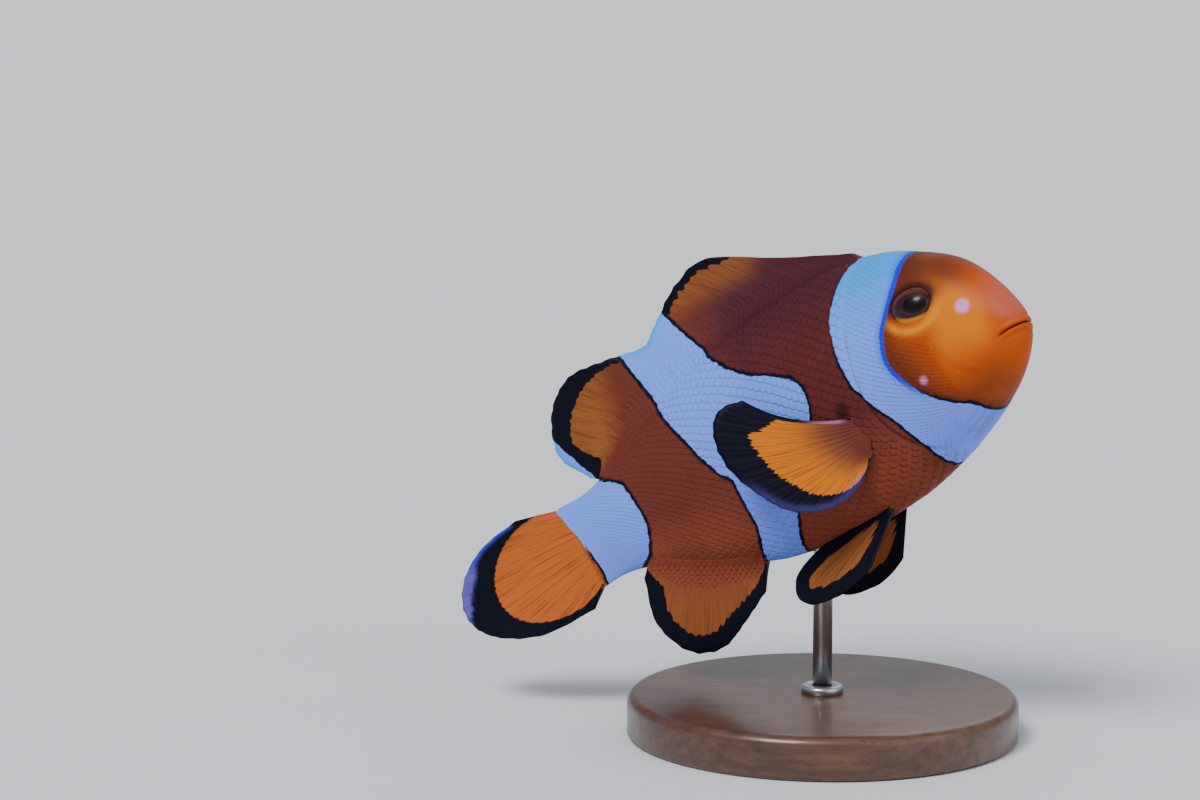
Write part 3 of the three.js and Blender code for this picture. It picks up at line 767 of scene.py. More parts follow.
def sheet(mid, normal, thick, fields):
    """Closed thin body round a grid of middle points, as points, faces and fields."""
    columns, rows = mid.shape[:2]
    half = normal * thick[..., None] / 2
    points = np.concatenate([(mid + half).reshape(-1, 3), (mid - half).reshape(-1, 3)])
    count = columns * rows
    i, j = np.meshgrid(np.arange(columns - 1), np.arange(rows - 1), indexing="ij")
    here = (i * rows + j).ravel()
    top = np.stack([here, here + rows, here + rows + 1, here + 1], 1)
    bottom = top[:, ::-1] + count
    low = np.arange(columns - 1) * rows
    high = low + rows - 1
    left = np.arange(rows - 1)
    right = left + (columns - 1) * rows
    sides = [
        np.stack([low, low + count, low + rows + count, low + rows], 1),
        np.stack([high, high + rows, high + rows + count, high + count], 1),
        np.stack([left, left + 1, left + 1 + count, left + count], 1),
        np.stack([right, right + count, right + 1 + count, right + 1], 1),
    ]
    doubled = {key: np.tile(np.broadcast_to(values, (columns, rows)).ravel(), 2)
               for key, values in fields.items()}
    return points, np.concatenate([top, bottom, *sides]), with_defaults(doubled, 2 * count)


def fin_thickness(x, r, above, branching, foot):
    """Thickness of a fin: thick where it leaves the body, thin between the rays."""
    web = mixed(FIN_THICK["web"], FIN_THICK["edge"], np.clip(r, 0, 1) ** FIN_THICK["thinning"])
    thick, soon, start = foot
    foot = (thick - FIN_THICK["web"]) * np.exp(-np.maximum(above + start, 0) / soon)
    ray = FIN_THICK["ray"] * mixed(*RAY_HEIGHT, r) * ray_profile(x, r, branching)
    return (web + foot + ray) * eased(r, *FREE_EDGE)


def median_columns(fin, root_at, per_ray):
    """Root and tip of each column of a median fin, its sideways lean and its place among the rays."""
    u = np.linspace(0, 1, (fin["rays"] - 1) * per_ray + 1)
    tip_s, tip_h = (share * BODY_LENGTH for share in along_rows(fin["tips"], u))
    root_s, root_h = root_at(u)
    size, turns, start = fin["wave"]
    lean = size * np.sin(2 * np.pi * turns * (u - start))
    return np.stack([root_s, root_h, tip_s, tip_h, lean, u * (fin["rays"] - 1), u])


def root_on_body(fin, over):
    """Root line of a fin along the back, or along the belly."""
    def root_at(u):
        s = mixed(*fin["root"], u) * BODY_LENGTH
        back, belly = section_at(s)[:2]
        return s, back - SUNK_ROOT if over else SUNK_ROOT - belly
    return root_at


def on_tail(fin):
    """Root line of the tail fin."""
    def root_at(u):
        s = np.full_like(u, fin["root"] * BODY_LENGTH - SUNK_ROOT)
        return s, mixed(fin["height"], -fin["height"], u) * BODY_LENGTH
    return root_at


def fillet_foot(s, over):
    """Foot as wide as the body a little under its back or over its belly, so that the two run together."""
    back, belly, half, widest = section_at(s, True)
    reach = np.where(over, back - widest, belly + widest)
    width = 2 * half * np.sqrt(1 - (1 - FILLET["under"] / reach) ** 2)
    return width, FILLET["soon"], FILLET["start"]


# Meshes of the fins: columns from ray to ray, and rows on the way out.
SPINY_MESH, SOFT_MESH, ANAL_MESH, TAIL_MESH = (12, 30), (9, 30), (9, 28), (10, 36)
FIN_STARTS = (0, 2.0)  # distance over the body at which fin colours start and are full
FAN_STARTS = (0, 0.12)  # the same on the paired fins, as shares of the way out


def median_grid(columns, rows, foot=None):
    """Grid of a fin in the fish's middle plane, with everything its markings need."""
    root_s, root_h, tip_s, tip_h, lean, x, u = (row[:, None] for row in columns)
    foot = foot or fillet_foot(root_s, root_h > 0)
    length = np.hypot(tip_s - root_s, tip_h - root_h)
    even = (np.arange(rows) / (rows - 1))[None]
    r = even * margin_shape(x, even, length)
    s, h = mixed(root_s, tip_s, r), mixed(root_h, tip_h, r)
    mid = fish_point(s, h, lean * r * r)
    normal = spine_at(s)[2]
    share = np.broadcast_to(even, s.shape)
    above = length * r - SUNK_ROOT
    thick = fin_thickness(x, share, above, True, foot)
    fields = markings(s, side_height(s, h))
    fields.update(fin=slope(above, *FIN_STARTS), ray=x + 0 * s, reach=share)
    return {"mid": mid, "normal": normal, "thick": thick, "fields": fields, "s": s, "h": h, "u": u, "x": x,
            "r": share, "above": above}


# Margins and amber of the fins. Four numbers are a value before and after, and where it changes.
DORSAL_MARKS = {
    "spine_margin": (-0.7, 1.25, 0.46, 0.56),
    "ray_margin": (0.9, 3.0, 0.78, 0.89),
    "spine_teeth": 0.8,
    "ray_teeth": 0.35,
    "margin_foot": (-0.4, 2.6),
    "bar": (0.755, 0.775),  # where the margin stops at the middle bar, and where that counts
    "spine_amber": (0, 0.75, 0.440, 0.510),
    "amber_height": (0.262, 0.317),
    "amber_edge": [(0.095, 0.885), (0.150, 0.815), (0.265, 0.784), (0.300, 0.775)],
    "amber_soft": (-0.72, 3.60),
    "amber_foot": (-0.2, 1.4),
    "blend": 14.0,  # columns over which the lean of the two parts is brought together
}
ANAL_MARKS = {"margin": (1.5, 2.4, 0, 0.5), "teeth": 0.6, "margin_foot": (-0.4, 3.6),
              "amber": (0, 0.8, 0.15, 0.65)}
TAIL_MARKS = {
    "pale": [(0, -0.6), (0.05, 0.4), (0.20, 0.5), (0.34, 1.6), (0.45, 1.3), (0.56, -0.3), (1, -0.6)],
    "pale_soft": (0, 0.85, -0.3, 0.3),
    "corner": (0, 0.22, 0.86, 0.14),  # least and most shortening, where the round corner starts, its width
}
MARGIN_INSET = 0.05


def dorsal_fin():
    """Spiny and soft dorsal fin as one sheet; black edge, widest round the soft part."""
    marks = DORSAL_MARKS
    parts = [median_columns(fin, root_on_body(fin, True), per_ray)
             for fin, (per_ray, _) in ((SPINY_DORSAL, SPINY_MESH), (SOFT_DORSAL, SOFT_MESH))]
    parts[1][5] += 2 * SPINY_DORSAL["rays"]
    border = parts[0].shape[1]
    columns = np.concatenate(parts, axis=1)
    near = hump(np.arange(columns.shape[1]) - border, marks["blend"])
    columns[4] = mixed(columns[4], (columns[4, border - 1] + columns[4, border]) / 2, near)
    grid = median_grid(columns, SPINY_MESH[1])
    spiny = (np.arange(columns.shape[1]) < border)[:, None]
    stiff = fin_thickness(grid["x"], grid["r"], FIN_STARTS[1], False, PAIRED_FOOT)
    soft = fin_thickness(grid["x"], grid["r"], FIN_STARTS[1], True, PAIRED_FOOT)
    grid["thick"] = grid["thick"] + np.where(spiny, stiff - soft, 0)
    rim = margin_gap(grid["mid"], False, True)
    t, h = grid["s"] / BODY_LENGTH, grid["h"] / BODY_LENGTH
    width = np.where(spiny, eased(t, *marks["spine_margin"]), eased(t, *marks["ray_margin"]))
    teeth = np.where(spiny, marks["spine_teeth"], marks["ray_teeth"])
    width = width + teeth * waves(TEETH, grid["x"], grid["r"])
    black = width * slope(grid["above"], *marks["margin_foot"]) - rim - MARGIN_INSET
    line, limit = marks["bar"]
    black = np.where(~spiny & (t < limit), np.minimum(black, (t - line) * BODY_LENGTH), black)
    on_spines = eased(t, *marks["spine_amber"]) * slope(h, *marks["amber_height"])
    on_rays = slope(grid["s"] - edge_at(marks["amber_edge"], h), *marks["amber_soft"])
    amber = slope(grid["above"], *marks["amber_foot"]) * np.where(spiny, on_spines, on_rays)
    grid["fields"].update(rim=rim, black=black, amber=amber)
    return grid


def anal_fin():
    """Anal fin, orange with a black edge."""
    per_ray, rows = ANAL_MESH
    grid = median_grid(median_columns(ANAL, root_on_body(ANAL, False), per_ray), rows)
    rim = margin_gap(grid["mid"], True, True)
    width = eased(grid["u"], *ANAL_MARKS["margin"])
    width = width + ANAL_MARKS["teeth"] * waves(TEETH, grid["x"], grid["r"])
    black = width * slope(grid["above"], *ANAL_MARKS["margin_foot"]) - rim - MARGIN_INSET
    grid["fields"].update(rim=rim, black=black, amber=eased(grid["r"], *ANAL_MARKS["amber"]))
    return grid


def tail_fin():
    """Tail fin: an orange disc in a black field, and a pale edge above and behind."""
    per_ray, rows = TAIL_MESH
    columns = median_columns(CAUDAL, on_tail(CAUDAL), per_ray)
    least, most, start, width = TAIL_MARKS["corner"]
    rounded = mixed(least, most, np.clip((columns[6] - start) / width, 0, 1) ** 2)
    columns[2:4] = mixed(columns[2:4], columns[0:2], rounded)
    grid = median_grid(columns, rows, TAIL_FOOT)
    rim = margin_gap(grid["mid"], True, True)
    away = np.hypot((grid["s"] - DISC["s"]) / DISC["long"], (grid["h"] - DISC["h"]) / DISC["tall"])
    black = (away - 1) * DISC["tall"] + DISC["teeth"] * waves(TEETH, grid["x"], grid["r"])
    pale = eased(curve_of(TAIL_MARKS["pale"], grid["u"]) - rim, *TAIL_MARKS["pale_soft"])
    grid["fields"].update(rim=rim, black=black, pale=pale, amber=np.ones_like(rim))
    return grid


BLUNT_TIP = {"share": 0.075, "width": 0.13}  # how much shorter the first ray is, and over how many rays
# Meshes of the paired fins: rows, columns from ray to ray, and how far inside the body they start.
BREAST_MESH, BELLY_MESH = (32, 8, 1.4), (26, 12, 1.0)
FAN_HEIGHT = -0.3  # height on the side that the paired fins take their colour from


def fan_grid(fin, root, back, down, rows, per_ray, sunk):
    """Grid of a paired fin: rays fanning from a short root line in a tilted plane."""
    u = np.linspace(0, 1, (fin["rays"] - 1) * per_ray + 1)[:, None]
    degrees, share = along_rows(fin["fan"], u[:, 0])
    angle = np.radians(degrees)[:, None]
    along = np.cos(angle) * back + np.sin(angle) * down
    across = np.cos(angle) * down - np.sin(angle) * back
    normal = unit(np.cross(back, down))
    start = root + down * (u - 0.5) * fin["span"] * BODY_LENGTH
    tip = root + along * share[:, None] * BODY_LENGTH
    way = unit(tip - start)
    start = start - way * sunk
    length = np.linalg.norm(tip - start, axis=1)[:, None]
    x = u * (fin["rays"] - 1)
    even = (np.arange(rows) / (rows - 1))[None]
    blunt = 1 - BLUNT_TIP["share"] * np.clip(1 - u / BLUNT_TIP["width"], 0, 1) ** 2
    r = even * margin_shape(x, even, length) * blunt
    sag = fin["bow"] * (1 - u) ** 2 * 4 * r * (1 - r)
    mid = start[:, None] + (tip - start)[:, None] * r[..., None] + across[:, None] * sag[..., None]
    share = np.broadcast_to(even, r.shape)
    thick = fin_thickness(x, share, length * r - sunk, True, PAIRED_FOOT)
    s = np.full(r.shape, fin["s"] * BODY_LENGTH)
    fields = markings(s, np.full(r.shape, FAN_HEIGHT))
    fields.update(bar=np.full(r.shape, -FAR), fin=slope(share, *FAN_STARTS), ray=x + 0 * r, reach=share)
    return {"mid": mid, "normal": np.broadcast_to(normal, mid.shape), "thick": thick, "fields": fields,
            "u": u, "x": x, "r": share}


BREAST_MARKS = {
    "margin": [(0, 4.8), (0.15, 4.4), (0.35, 4.0), (0.55, 3.9), (0.70, 3.1), (0.84, 2.0), (1, 0.7)],
    "to_tip": (0.30, 0.55),  # rays between which the margin is measured from each ray's own tip
    "first_ray": (0.20, 0.85, 0.15, 0.65),
    "last_ray": {"width": 0.40, "start": 0.30, "steep": 10},
    "violet": (0, 0.24, 1.25, 0.35),
    "violet_rays": (0.40, 0.55),
    "violet_starts": (0.50, 0.62),
    "pink": (0, 0.35, 0.60, 0.30),
    "pink_shown": (0.10, 0.16, 0.25, 0.50),
    "amber": (-0.02, 0.38),
    "sunk": 0.2,
}
BELLY_MARKS = {"margin": (1.3, 2.1, 0.3, 0.8), "teeth": 0.7, "amber": (-0.10, 0.25), "sunk": 0.9}


def pectoral_fin(side):
    """Breast fin: amber with a broad toothed black edge and a pinkish first ray."""
    marks = BREAST_MARKS
    s = np.array(PECTORAL["s"] * BODY_LENGTH)
    h = PECTORAL["h"] * BODY_LENGTH
    _, belly, half, widest = section_at(s)
    v = (widest - h) / (belly + widest)
    _, forward, left, up = spine_at(s)
    outward = left * side
    opening = math.radians(PECTORAL["outward"])
    back = outward * math.sin(opening) - forward * math.cos(opening)
    root = fish_point(s, h, side * half * math.sqrt(1 - v * v)) - outward * marks["sunk"]
    grid = fan_grid(PECTORAL, root, back, -up, *BREAST_MESH)
    mid, u, r = grid["mid"], grid["u"], grid["r"]
    rim = margin_gap(mid, True, True)
    to_tip, from_first, from_last = (
        np.linalg.norm(mid - edge, axis=-1) for edge in (mid[:, -1:], mid[:1], mid[-1:]))
    outer = eased(u, margin_gap(mid, False, False), to_tip, *marks["to_tip"])
    width = curve_of(marks["margin"], u) + waves(BREAST_TEETH, grid["x"])
    last = marks["last_ray"]
    black = np.maximum.reduce([
        width - outer,
        eased(r, *marks["first_ray"]) - from_first,
        np.minimum(last["width"] - from_last, (r - last["start"]) * last["steep"]),
    ])
    violet = eased(rim, *marks["violet"]) * slope(u, *marks["violet_rays"])
    violet = violet * slope(r, *marks["violet_starts"])
    pink = eased(from_first, *marks["pink"]) * window(r, *marks["pink_shown"])
    amber = slope(r, *marks["amber"])
    grid["fields"].update(rim=rim, black=black, pale=np.maximum(violet, pink), amber=amber)
    return grid


def pelvic_fin(side):
    """Belly fin: amber with a black edge."""
    s = np.array(PELVIC["s"] * BODY_LENGTH)
    belly = section_at(s)[1]
    _, forward, left, up = spine_at(s)
    opening = math.radians(PELVIC["outward"])
    down = left * side * math.sin(opening) - up * math.cos(opening)
    root = fish_point(s, BELLY_MARKS["sunk"] - belly, side * PELVIC["side"] * BODY_LENGTH)
    grid = fan_grid(PELVIC, root, -forward, down, *BELLY_MESH)
    rim, x, r = margin_gap(grid["mid"], True, True), grid["x"], grid["r"]
    black = eased(r, *BELLY_MARKS["margin"]) + BELLY_MARKS["teeth"] * waves(TEETH, x, r) - rim
    grid["fields"].update(rim=rim, black=black, amber=slope(r, *BELLY_MARKS["amber"]))
    return grid


MEDIAN_FINS = [dorsal_fin(), anal_fin(), tail_fin()]


def build_fins():
    """All fins as separate closed sheets in one mesh."""
    paired = [make(side) for make in (pectoral_fin, pelvic_fin) for side in (1, -1)]
    points, faces, fields, start = [], [], [], 0
    for grid in MEDIAN_FINS + paired:
        here, quads, own = sheet(grid["mid"], grid["normal"], grid["thick"], grid["fields"])
        points.append(here)
        faces.append(quads + start)
        fields.append(own)
        start += len(here)
    joined = {key: np.concatenate([own[key] for own in fields]) for key in fields[0]}
    mesh = new_mesh("fins", np.concatenate(points), [np.concatenate(faces)], joined)
    weld(mesh)
    return mesh


# ---------------- skin


def combined(base, other, operation):
    """base with other added or cut away, as a new mesh; both are closed."""
    first, second = new_piece("first", base), new_piece("second", other)
    step = first.modifiers.new("step", "BOOLEAN")
    step.operation = operation
    step.solver = "MANIFOLD"
    step.object = second
    graph = bpy.context.evaluated_depsgraph_get()
    result = bpy.data.meshes.new_from_object(first.evaluated_get(graph))
    for piece in (first, second):
        bpy.data.objects.remove(piece)
    mend_seams(result)
    return result


def mend_seams(mesh):
    """Gives each point that a join has made the mean fields of the points beside it."""
    layers = [layer for layer in mesh.attributes if layer.data_type == "FLOAT" and layer.domain == "POINT"]
    fields = np.empty((len(layers), len(mesh.vertices)), np.float32)
    for layer, values in zip(layers, fields):
        layer.data.foreach_get("value", values)
    known = fields[[layer.name for layer in layers].index("known")] > 0.5
    ends = np.empty(2 * len(mesh.edges), np.int32)
    mesh.edges.foreach_get("vertices", ends)
    pairs = np.concatenate([ends.reshape(-1, 2), ends.reshape(-1, 2)[:, ::-1]])
    while True:
        source, target = pairs[known[pairs[:, 0]] & ~known[pairs[:, 1]]].T
        if not len(target):
            break
        count = np.bincount(target, minlength=len(known))
        met = count > 0
        for values in fields:
            values[met] = np.bincount(target, values[source], len(known))[met] / count[met]
        known |= met
    for layer, values in zip(layers, fields):
        layer.data.foreach_set("value", values)


SOCKET_GAP = 0.03


def build_skin(depth):
    """One closed skin: body, lids and fins together, with sockets for the eyes."""
    skin = build_body(depth)
    weld(skin)
    for side in (1, -1):
        lid = build_lid(side, depth)
        weld(lid)
        skin = combined(skin, lid, "UNION")
    points = np.empty(3 * len(skin.vertices), np.float32)
    skin.vertices.foreach_get("co", points)
    points = points.reshape(-1, 3) / MM
    s, h = fish_place(points)
    fields = markings(s, np.clip(side_height(s, h), -1, 1))
    for key, values in {**fields, **eye_marks(points), "pale": nostril_highlight_and_cheek_spot(points)}.items():
        skin.attributes[key].data.foreach_set("value", values.astype(np.float32))
    skin = combined(skin, build_fins(), "UNION")
    for side in (1, -1):
        skin = combined(skin, build_eyeball("socket", side, -SOCKET_GAP), "DIFFERENCE")
    skin.name = "skin"
    return skin


# ---------------- scales

FACE_ROWS = 52  # rows of scales down one side of the face
BODY_ROWS = 28
COLUMN_RATIO = 0.74  # spacing along the body as a share of the spacing of the rows
FACE_STATIONS = (0.09 * BODY_LENGTH, GILL_STATION - 0.55)
BODY_STATIONS = (GILL_STATION + 0.10, BODY_LENGTH - 0.6)
SCALE_SEED = 11
SCALE_GRID = 5  # points along and across the top of one scale
SCALE_LIFT = {"root": -0.040, "tip": 0.021, "dome": 0.010, "foot": -0.13, "curve": 0.8}
SCALE_SHAPE = {"overlap": 1.62, "width": 1.10, "round": 0.34, "waist": (0.66, 0.34, 0.12, 0.75)}
SCALE_SIZES = (0.95, 1.05)
ROW_SHIFT = (0.25, 0.75)  # place of the scales in even and in odd rows
LEAST_LIFT = 0.36
ARC_POINTS = 97  # places from back to belly at which the outline is measured
READ_STEP = 0.2  # stations over which the bend of the rows is read
CHART = {"left": 0.02, "right": 0.52, "start": 0.01, "length": 0.97, "height": 0.46}
# Where the face is bare: bounds as shares of the length and heights on the side.
BARE = {"cheek": 0.135, "cheek_top": 0.15, "throat": -0.55, "throat_lean": 0.10, "behind_eye": 0.205,
        "nape": 0.165, "nape_foot": 0.80, "chin": -0.93, "round_eye": 1.15}
MARKING_SHARE = 0.94  # how far a scale's colour follows the markings under each of its points
FULL_ROW = 1.3  # row spacing at which a scale has its full thickness
BAKE_PATCH = 0.003
BAKE_LENGTH = 80.0


def side_arc(s):
    """Length of the section's outline from back to belly down one side, as two quarters of ellipses."""
    back, belly, half, widest = section_at(s, True)
    length = 0
    for reach in (back - widest, belly + widest):
        around = 3 * (reach + half) - np.sqrt((3 * reach + half) * (reach + 3 * half))
        length = length + math.pi / 4 * around
    return length


def angles_down(s, shares):
    """Angles on the left side at shares of the way from back to belly."""
    a = np.linspace(math.pi / 2, -math.pi / 2, ARC_POINTS)
    back, belly, half, widest = section_at(np.array(s), True)
    across = half * np.cos(a)
    down = np.where(a > 0, back - widest, belly + widest) * np.sin(a)
    way = np.concatenate([[0], np.cumsum(np.hypot(np.diff(across), np.diff(down)))])
    return np.interp(shares, way / way[-1], a)


def scale_roots(first, last, rows):
    """Rows of (station, angle, share down the side, row spacing, column spacing) for one side."""
    found = []
    station, odd = first, False
    while station < last:
        row = float(side_arc(np.array(station))) / rows
        shares = (np.arange(rows) + ROW_SHIFT[odd]) / rows
        for a, share in zip(angles_down(station, shares), shares):
            found.append((station, a, share, row, COLUMN_RATIO * row))
        station += COLUMN_RATIO * row
        odd = not odd
    return np.array(found)


def on_scaled_face(s, a, v):
    """True where the face has scales: cheek, gill cover and nape, but not the snout or the eye."""
    t = s / BODY_LENGTH
    throat = BARE["throat_lean"] * np.clip(BARE["throat"] - v, 0, 1)
    cheek = (v < BARE["cheek_top"]) & (t > BARE["cheek"] + throat)
    behind_eye = t > BARE["behind_eye"]
    nape = (v > BARE["nape_foot"]) & (t > BARE["nape"])
    points = side_point(s, a)
    clear = np.minimum(eye_gap(points, 1), eye_gap(points, -1)) > BARE["round_eye"]
    return (cheek | behind_eye | nape) & clear & (v > BARE["chin"])


def one_scale():
    """Share along, share across, level and faces of one scale; level 1 is its top, 0 its foot."""
    p, w = np.meshgrid(np.linspace(0, 1, SCALE_GRID), np.linspace(-1, 1, SCALE_GRID), indexing="ij")
    index = np.arange(SCALE_GRID ** 2).reshape(SCALE_GRID, SCALE_GRID)
    ring = np.concatenate([index[0, :-1], index[:-1, -1], index[-1, :0:-1], index[:0:-1, 0]])
    foot = SCALE_GRID ** 2 + np.arange(len(ring))
    middle = foot[-1] + 1
    p, w = p.ravel(), w.ravel()
    along = np.concatenate([p, p[ring], [0.5]])
    across = np.concatenate([w, w[ring], [0.0]])
    level = np.concatenate([np.ones(len(p)), np.zeros(len(ring) + 1)])
    beyond, foot_beyond = np.roll(ring, -1), np.roll(foot, -1)
    top = grid_faces(SCALE_GRID, SCALE_GRID)
    wall = np.stack([ring, foot, foot_beyond, beyond], 1)
    under = np.stack([foot, np.full(len(foot), middle), foot_beyond], 1)
    return along, across, level, top, wall, under


def build_scales(name, roots, side, depth, chance):
    """Coat of scales on one side from its root rows, as one mesh with its bake map."""
    along, across, level, *_ = one_scale()
    station, a, share, row, column = (values[:, None] for values in roots.T)
    s = bent_station(station, a)
    stretch = bent_station(station + READ_STEP, a) - bent_station(station - READ_STEP, a)
    stretch = stretch / (2 * READ_STEP)
    a = a if side > 0 else math.pi - a
    slope_s, slope_a = side_slopes(s, a)
    reach_s = np.linalg.norm(slope_s, axis=-1)
    reach_a = np.linalg.norm(slope_a, axis=-1)
    size = chance.uniform(*SCALE_SIZES, row.shape)
    length = SCALE_SHAPE["overlap"] * column * stretch * reach_s * size
    x, y = scale_outline(along, across, length, SCALE_SHAPE["width"] * row * size)
    full = np.clip(row / FULL_ROW, LEAST_LIFT, 1)
    z = full * scale_lift(along, across, level)
    own_s = s + x / reach_s
    own_a = a + (1 if side > 0 else -1) * y / reach_a
    own_surface = side_point(own_s, own_a)
    relief, crease = skin_relief(own_s, own_a)
    points = own_surface + side_normal(own_s, own_a) * (relief - depth + z)[..., None]
    marked_s = mixed(s, own_s, MARKING_SHARE)
    marked_v = mixed(np.sin(a), np.sin(own_a), MARKING_SHARE)
    fields = {**markings(marked_s, marked_v), **eye_marks(own_surface)}
    tone = np.broadcast_to(chance.uniform(0, 1, row.shape), own_s.shape)
    fields.update(crease=crease, tone=tone, pale=nostril_highlight_and_cheek_spot(own_surface))
    chart = CHART["left"] if side > 0 else CHART["right"]
    u = CHART["start"] + CHART["length"] * s / BAKE_LENGTH + (along - 0.5) * BAKE_PATCH
    v = chart + CHART["height"] * share + across / 2 * BAKE_PATCH
    return scale_mesh(name, points, fields, u, v, side > 0)


def scale_outline(along, across, length, width):
    """Place of a scale's points along and across it: a rounded tip and a narrower root."""
    narrow, swell, start, turn = SCALE_SHAPE["waist"]
    waist = narrow + swell * np.sin(math.pi * np.clip(start + turn * along, 0, 1))
    return length * along * (1 - SCALE_SHAPE["round"] * across ** 2), width / 2 * across * waist


def scale_lift(along, across, level):
    """Height of a scale's points over the body's surface."""
    top = mixed(SCALE_LIFT["root"], SCALE_LIFT["tip"], along ** SCALE_LIFT["curve"])
    return np.where(level > 0, top + SCALE_LIFT["dome"] * (1 - across ** 2), SCALE_LIFT["foot"])


def scale_mesh(name, points, fields, u, v, mirrored):
    """Many scales as one mesh, a row of points for each scale, with their fields and bake map."""
    top, wall, under = one_scale()[3:]
    shape = count, each = points.shape[:2]
    fields = {key: np.broadcast_to(values, shape).ravel() for key, values in fields.items()}
    start = np.arange(count)[:, None, None] * each
    faces = [(group[None] + start).reshape(-1, group.shape[1]) for group in (top, wall, under)]
    if mirrored:
        faces = [group[:, ::-1] for group in faces]
    mesh = new_mesh(name, points, faces, with_defaults(fields, count * each), flat=(1, 2))
    add_bake_map(mesh, np.stack([np.broadcast_to(u, shape), np.broadcast_to(v, shape)], -1))
    return mesh


FIN_SCALES = {"row": 0.60, "column": 0.80, "start": -0.85, "least": 0.55, "overlap": 1.7, "width": 1.15,
              "lift": 0.40, "over": 0.006}
FIN_CHART = {"start": 0.02, "length": 0.95, "band": 0.05, "band_height": 0.85}
FIN_SCALE_SHARES = [0.26, 0.22]  # how far out they go on the dorsal and the anal fin


def grid_read(rows, x, y):
    """Value of a fin's grid at fractional columns x and rows y."""
    i = np.clip(x.astype(int), 0, rows.shape[0] - 2)
    j = np.clip(y.astype(int), 0, rows.shape[1] - 2)
    p, q = x - i, y - j
    if rows.ndim > 2:
        p, q = p[..., None], q[..., None]
    return mixed(mixed(rows[i, j], rows[i + 1, j], p), mixed(rows[i, j + 1], rows[i + 1, j + 1], p), q)


def fin_scale_roots(grid, share):
    """Places of the scales at the foot of a fin: column, row and size, in rows that follow the body."""
    found = []
    above, mid = grid["above"], grid["mid"]
    limit = share * above[:, -1]
    columns = np.arange(len(above))
    level, odd = FIN_SCALES["start"], False
    while level < limit.max():
        y = np.array([np.interp(level, above[i], np.arange(above.shape[1])) for i in columns])
        line = grid_read(mid, columns.astype(float), y)
        way = np.concatenate([[0], np.cumsum(np.linalg.norm(np.diff(line, axis=0), axis=1))])
        count = max(2, int(way[-1] / FIN_SCALES["column"]))
        places = (np.arange(count) + ROW_SHIFT[odd]) / count * way[-1]
        x = np.interp(places, way, columns)
        near = 1 - np.maximum(level, 0) / np.interp(x, columns, limit)
        kept = near > 0
        size = mixed(FIN_SCALES["least"], 1, np.sqrt(near.clip(0, 1)))
        found.append(np.stack([x, np.interp(x, columns, y), size])[:, kept])
        level += FIN_SCALES["row"]
        odd = not odd
    return np.concatenate(found, axis=1)[..., None]


def build_fin_scales(name, side, chance):
    """Small scales over the feet of the median fins on one side, as one mesh."""
    along, across, level, *_ = one_scale()
    parts = []
    for index, share in enumerate(FIN_SCALE_SHARES):
        grid = MEDIAN_FINS[index]
        x, y, size = fin_scale_roots(grid, share)
        columns, rows = grid["above"].shape
        per_column = grid_read(grid["mid"], x + 0.5, y) - grid_read(grid["mid"], x - 0.5, y)
        per_row = grid_read(grid["mid"], x, y + 0.5) - grid_read(grid["mid"], x, y - 0.5)
        facing = np.sum(np.cross(per_row, per_column) * grid_read(grid["normal"], x, y))
        turn = -1 if side * facing > 0 else 1
        size = size * chance.uniform(*SCALE_SIZES, size.shape)
        length = FIN_SCALES["overlap"] * FIN_SCALES["row"] * size
        width = FIN_SCALES["width"] * FIN_SCALES["column"] * size
        out, beside = scale_outline(along, across, length, width)
        own_x = np.clip(x + turn * beside / np.linalg.norm(per_column, axis=-1), 0, columns - 1)
        own_y = np.clip(y + out / np.linalg.norm(per_row, axis=-1), 0, rows - 1)
        lift = FIN_SCALES["lift"] * size * scale_lift(along, across, level) + FIN_SCALES["over"]
        half = grid_read(grid["thick"], own_x, own_y) / 2 + lift
        points = grid_read(grid["mid"], own_x, own_y)
        points = points + side * half[..., None] * grid_read(grid["normal"], own_x, own_y)
        fields = {key: grid_read(np.broadcast_to(values, (columns, rows)), own_x, own_y)
                  for key, values in grid["fields"].items()}
        fields["tone"] = np.broadcast_to(chance.uniform(0, 1, size.shape), own_x.shape)
        band = index + FIN_CHART["band"] + FIN_CHART["band_height"] * y / rows
        band = band / len(FIN_SCALE_SHARES)
        u = FIN_CHART["start"] + FIN_CHART["length"] * x / columns + (along - 0.5) * BAKE_PATCH
        parts.append((points, fields, u, band + turn * across / 2 * BAKE_PATCH))
    points, fields, u, v = zip(*parts)
    joined = {key: np.concatenate([own[key] for own in fields]) for key in fields[0]}
    return scale_mesh(name, np.concatenate(points), joined, np.concatenate(u), np.concatenate(v), False)


def add_bake_map(mesh, places):
    """Map named OFBake with one place for each point of the mesh."""
    layer = mesh.uv_layers.new(name="OFBake")
    corners = np.empty(len(mesh.loops), np.int32)
    mesh.loops.foreach_get("vertex_index", corners)
    layer.uv.foreach_set("vector", places.reshape(-1, 2)[corners].astype(np.float32).ravel())


# ---------------- stand

STAND_DISC = {"round": 1.2, "chamfer": 0.5, "around": 160, "inner": 0.6}
STAND_ROD = {"round": 0.3, "around": 48}
COLLAR = {"radius": 2.7, "height": 1.1, "round": 0.45, "bevel": 0.15, "sunk": 0.2, "around": 72}


def lathe(name, profile, around):
    """Closed body turned round the upright axis from a profile of (radius, height)."""
    profile = np.array(profile, float)
    turn = 2 * np.pi * np.arange(around) / around
    radius, height = profile[:, :1], profile[:, 1:]
    points = np.stack([radius * np.cos(turn), radius * np.sin(turn), height + 0 * turn], -1)
    mesh = new_mesh(name, points, [grid_faces(len(profile), around, closed=True)])
    weld(mesh)
    return mesh


def quarter(radius, height, size, steps=8):
    """Rounded outer corner of a turned profile, from its side to its top."""
    turn = np.linspace(0, math.pi / 2, steps)
    return [(radius - size + size * math.cos(t), height - size + size * math.sin(t)) for t in turn]


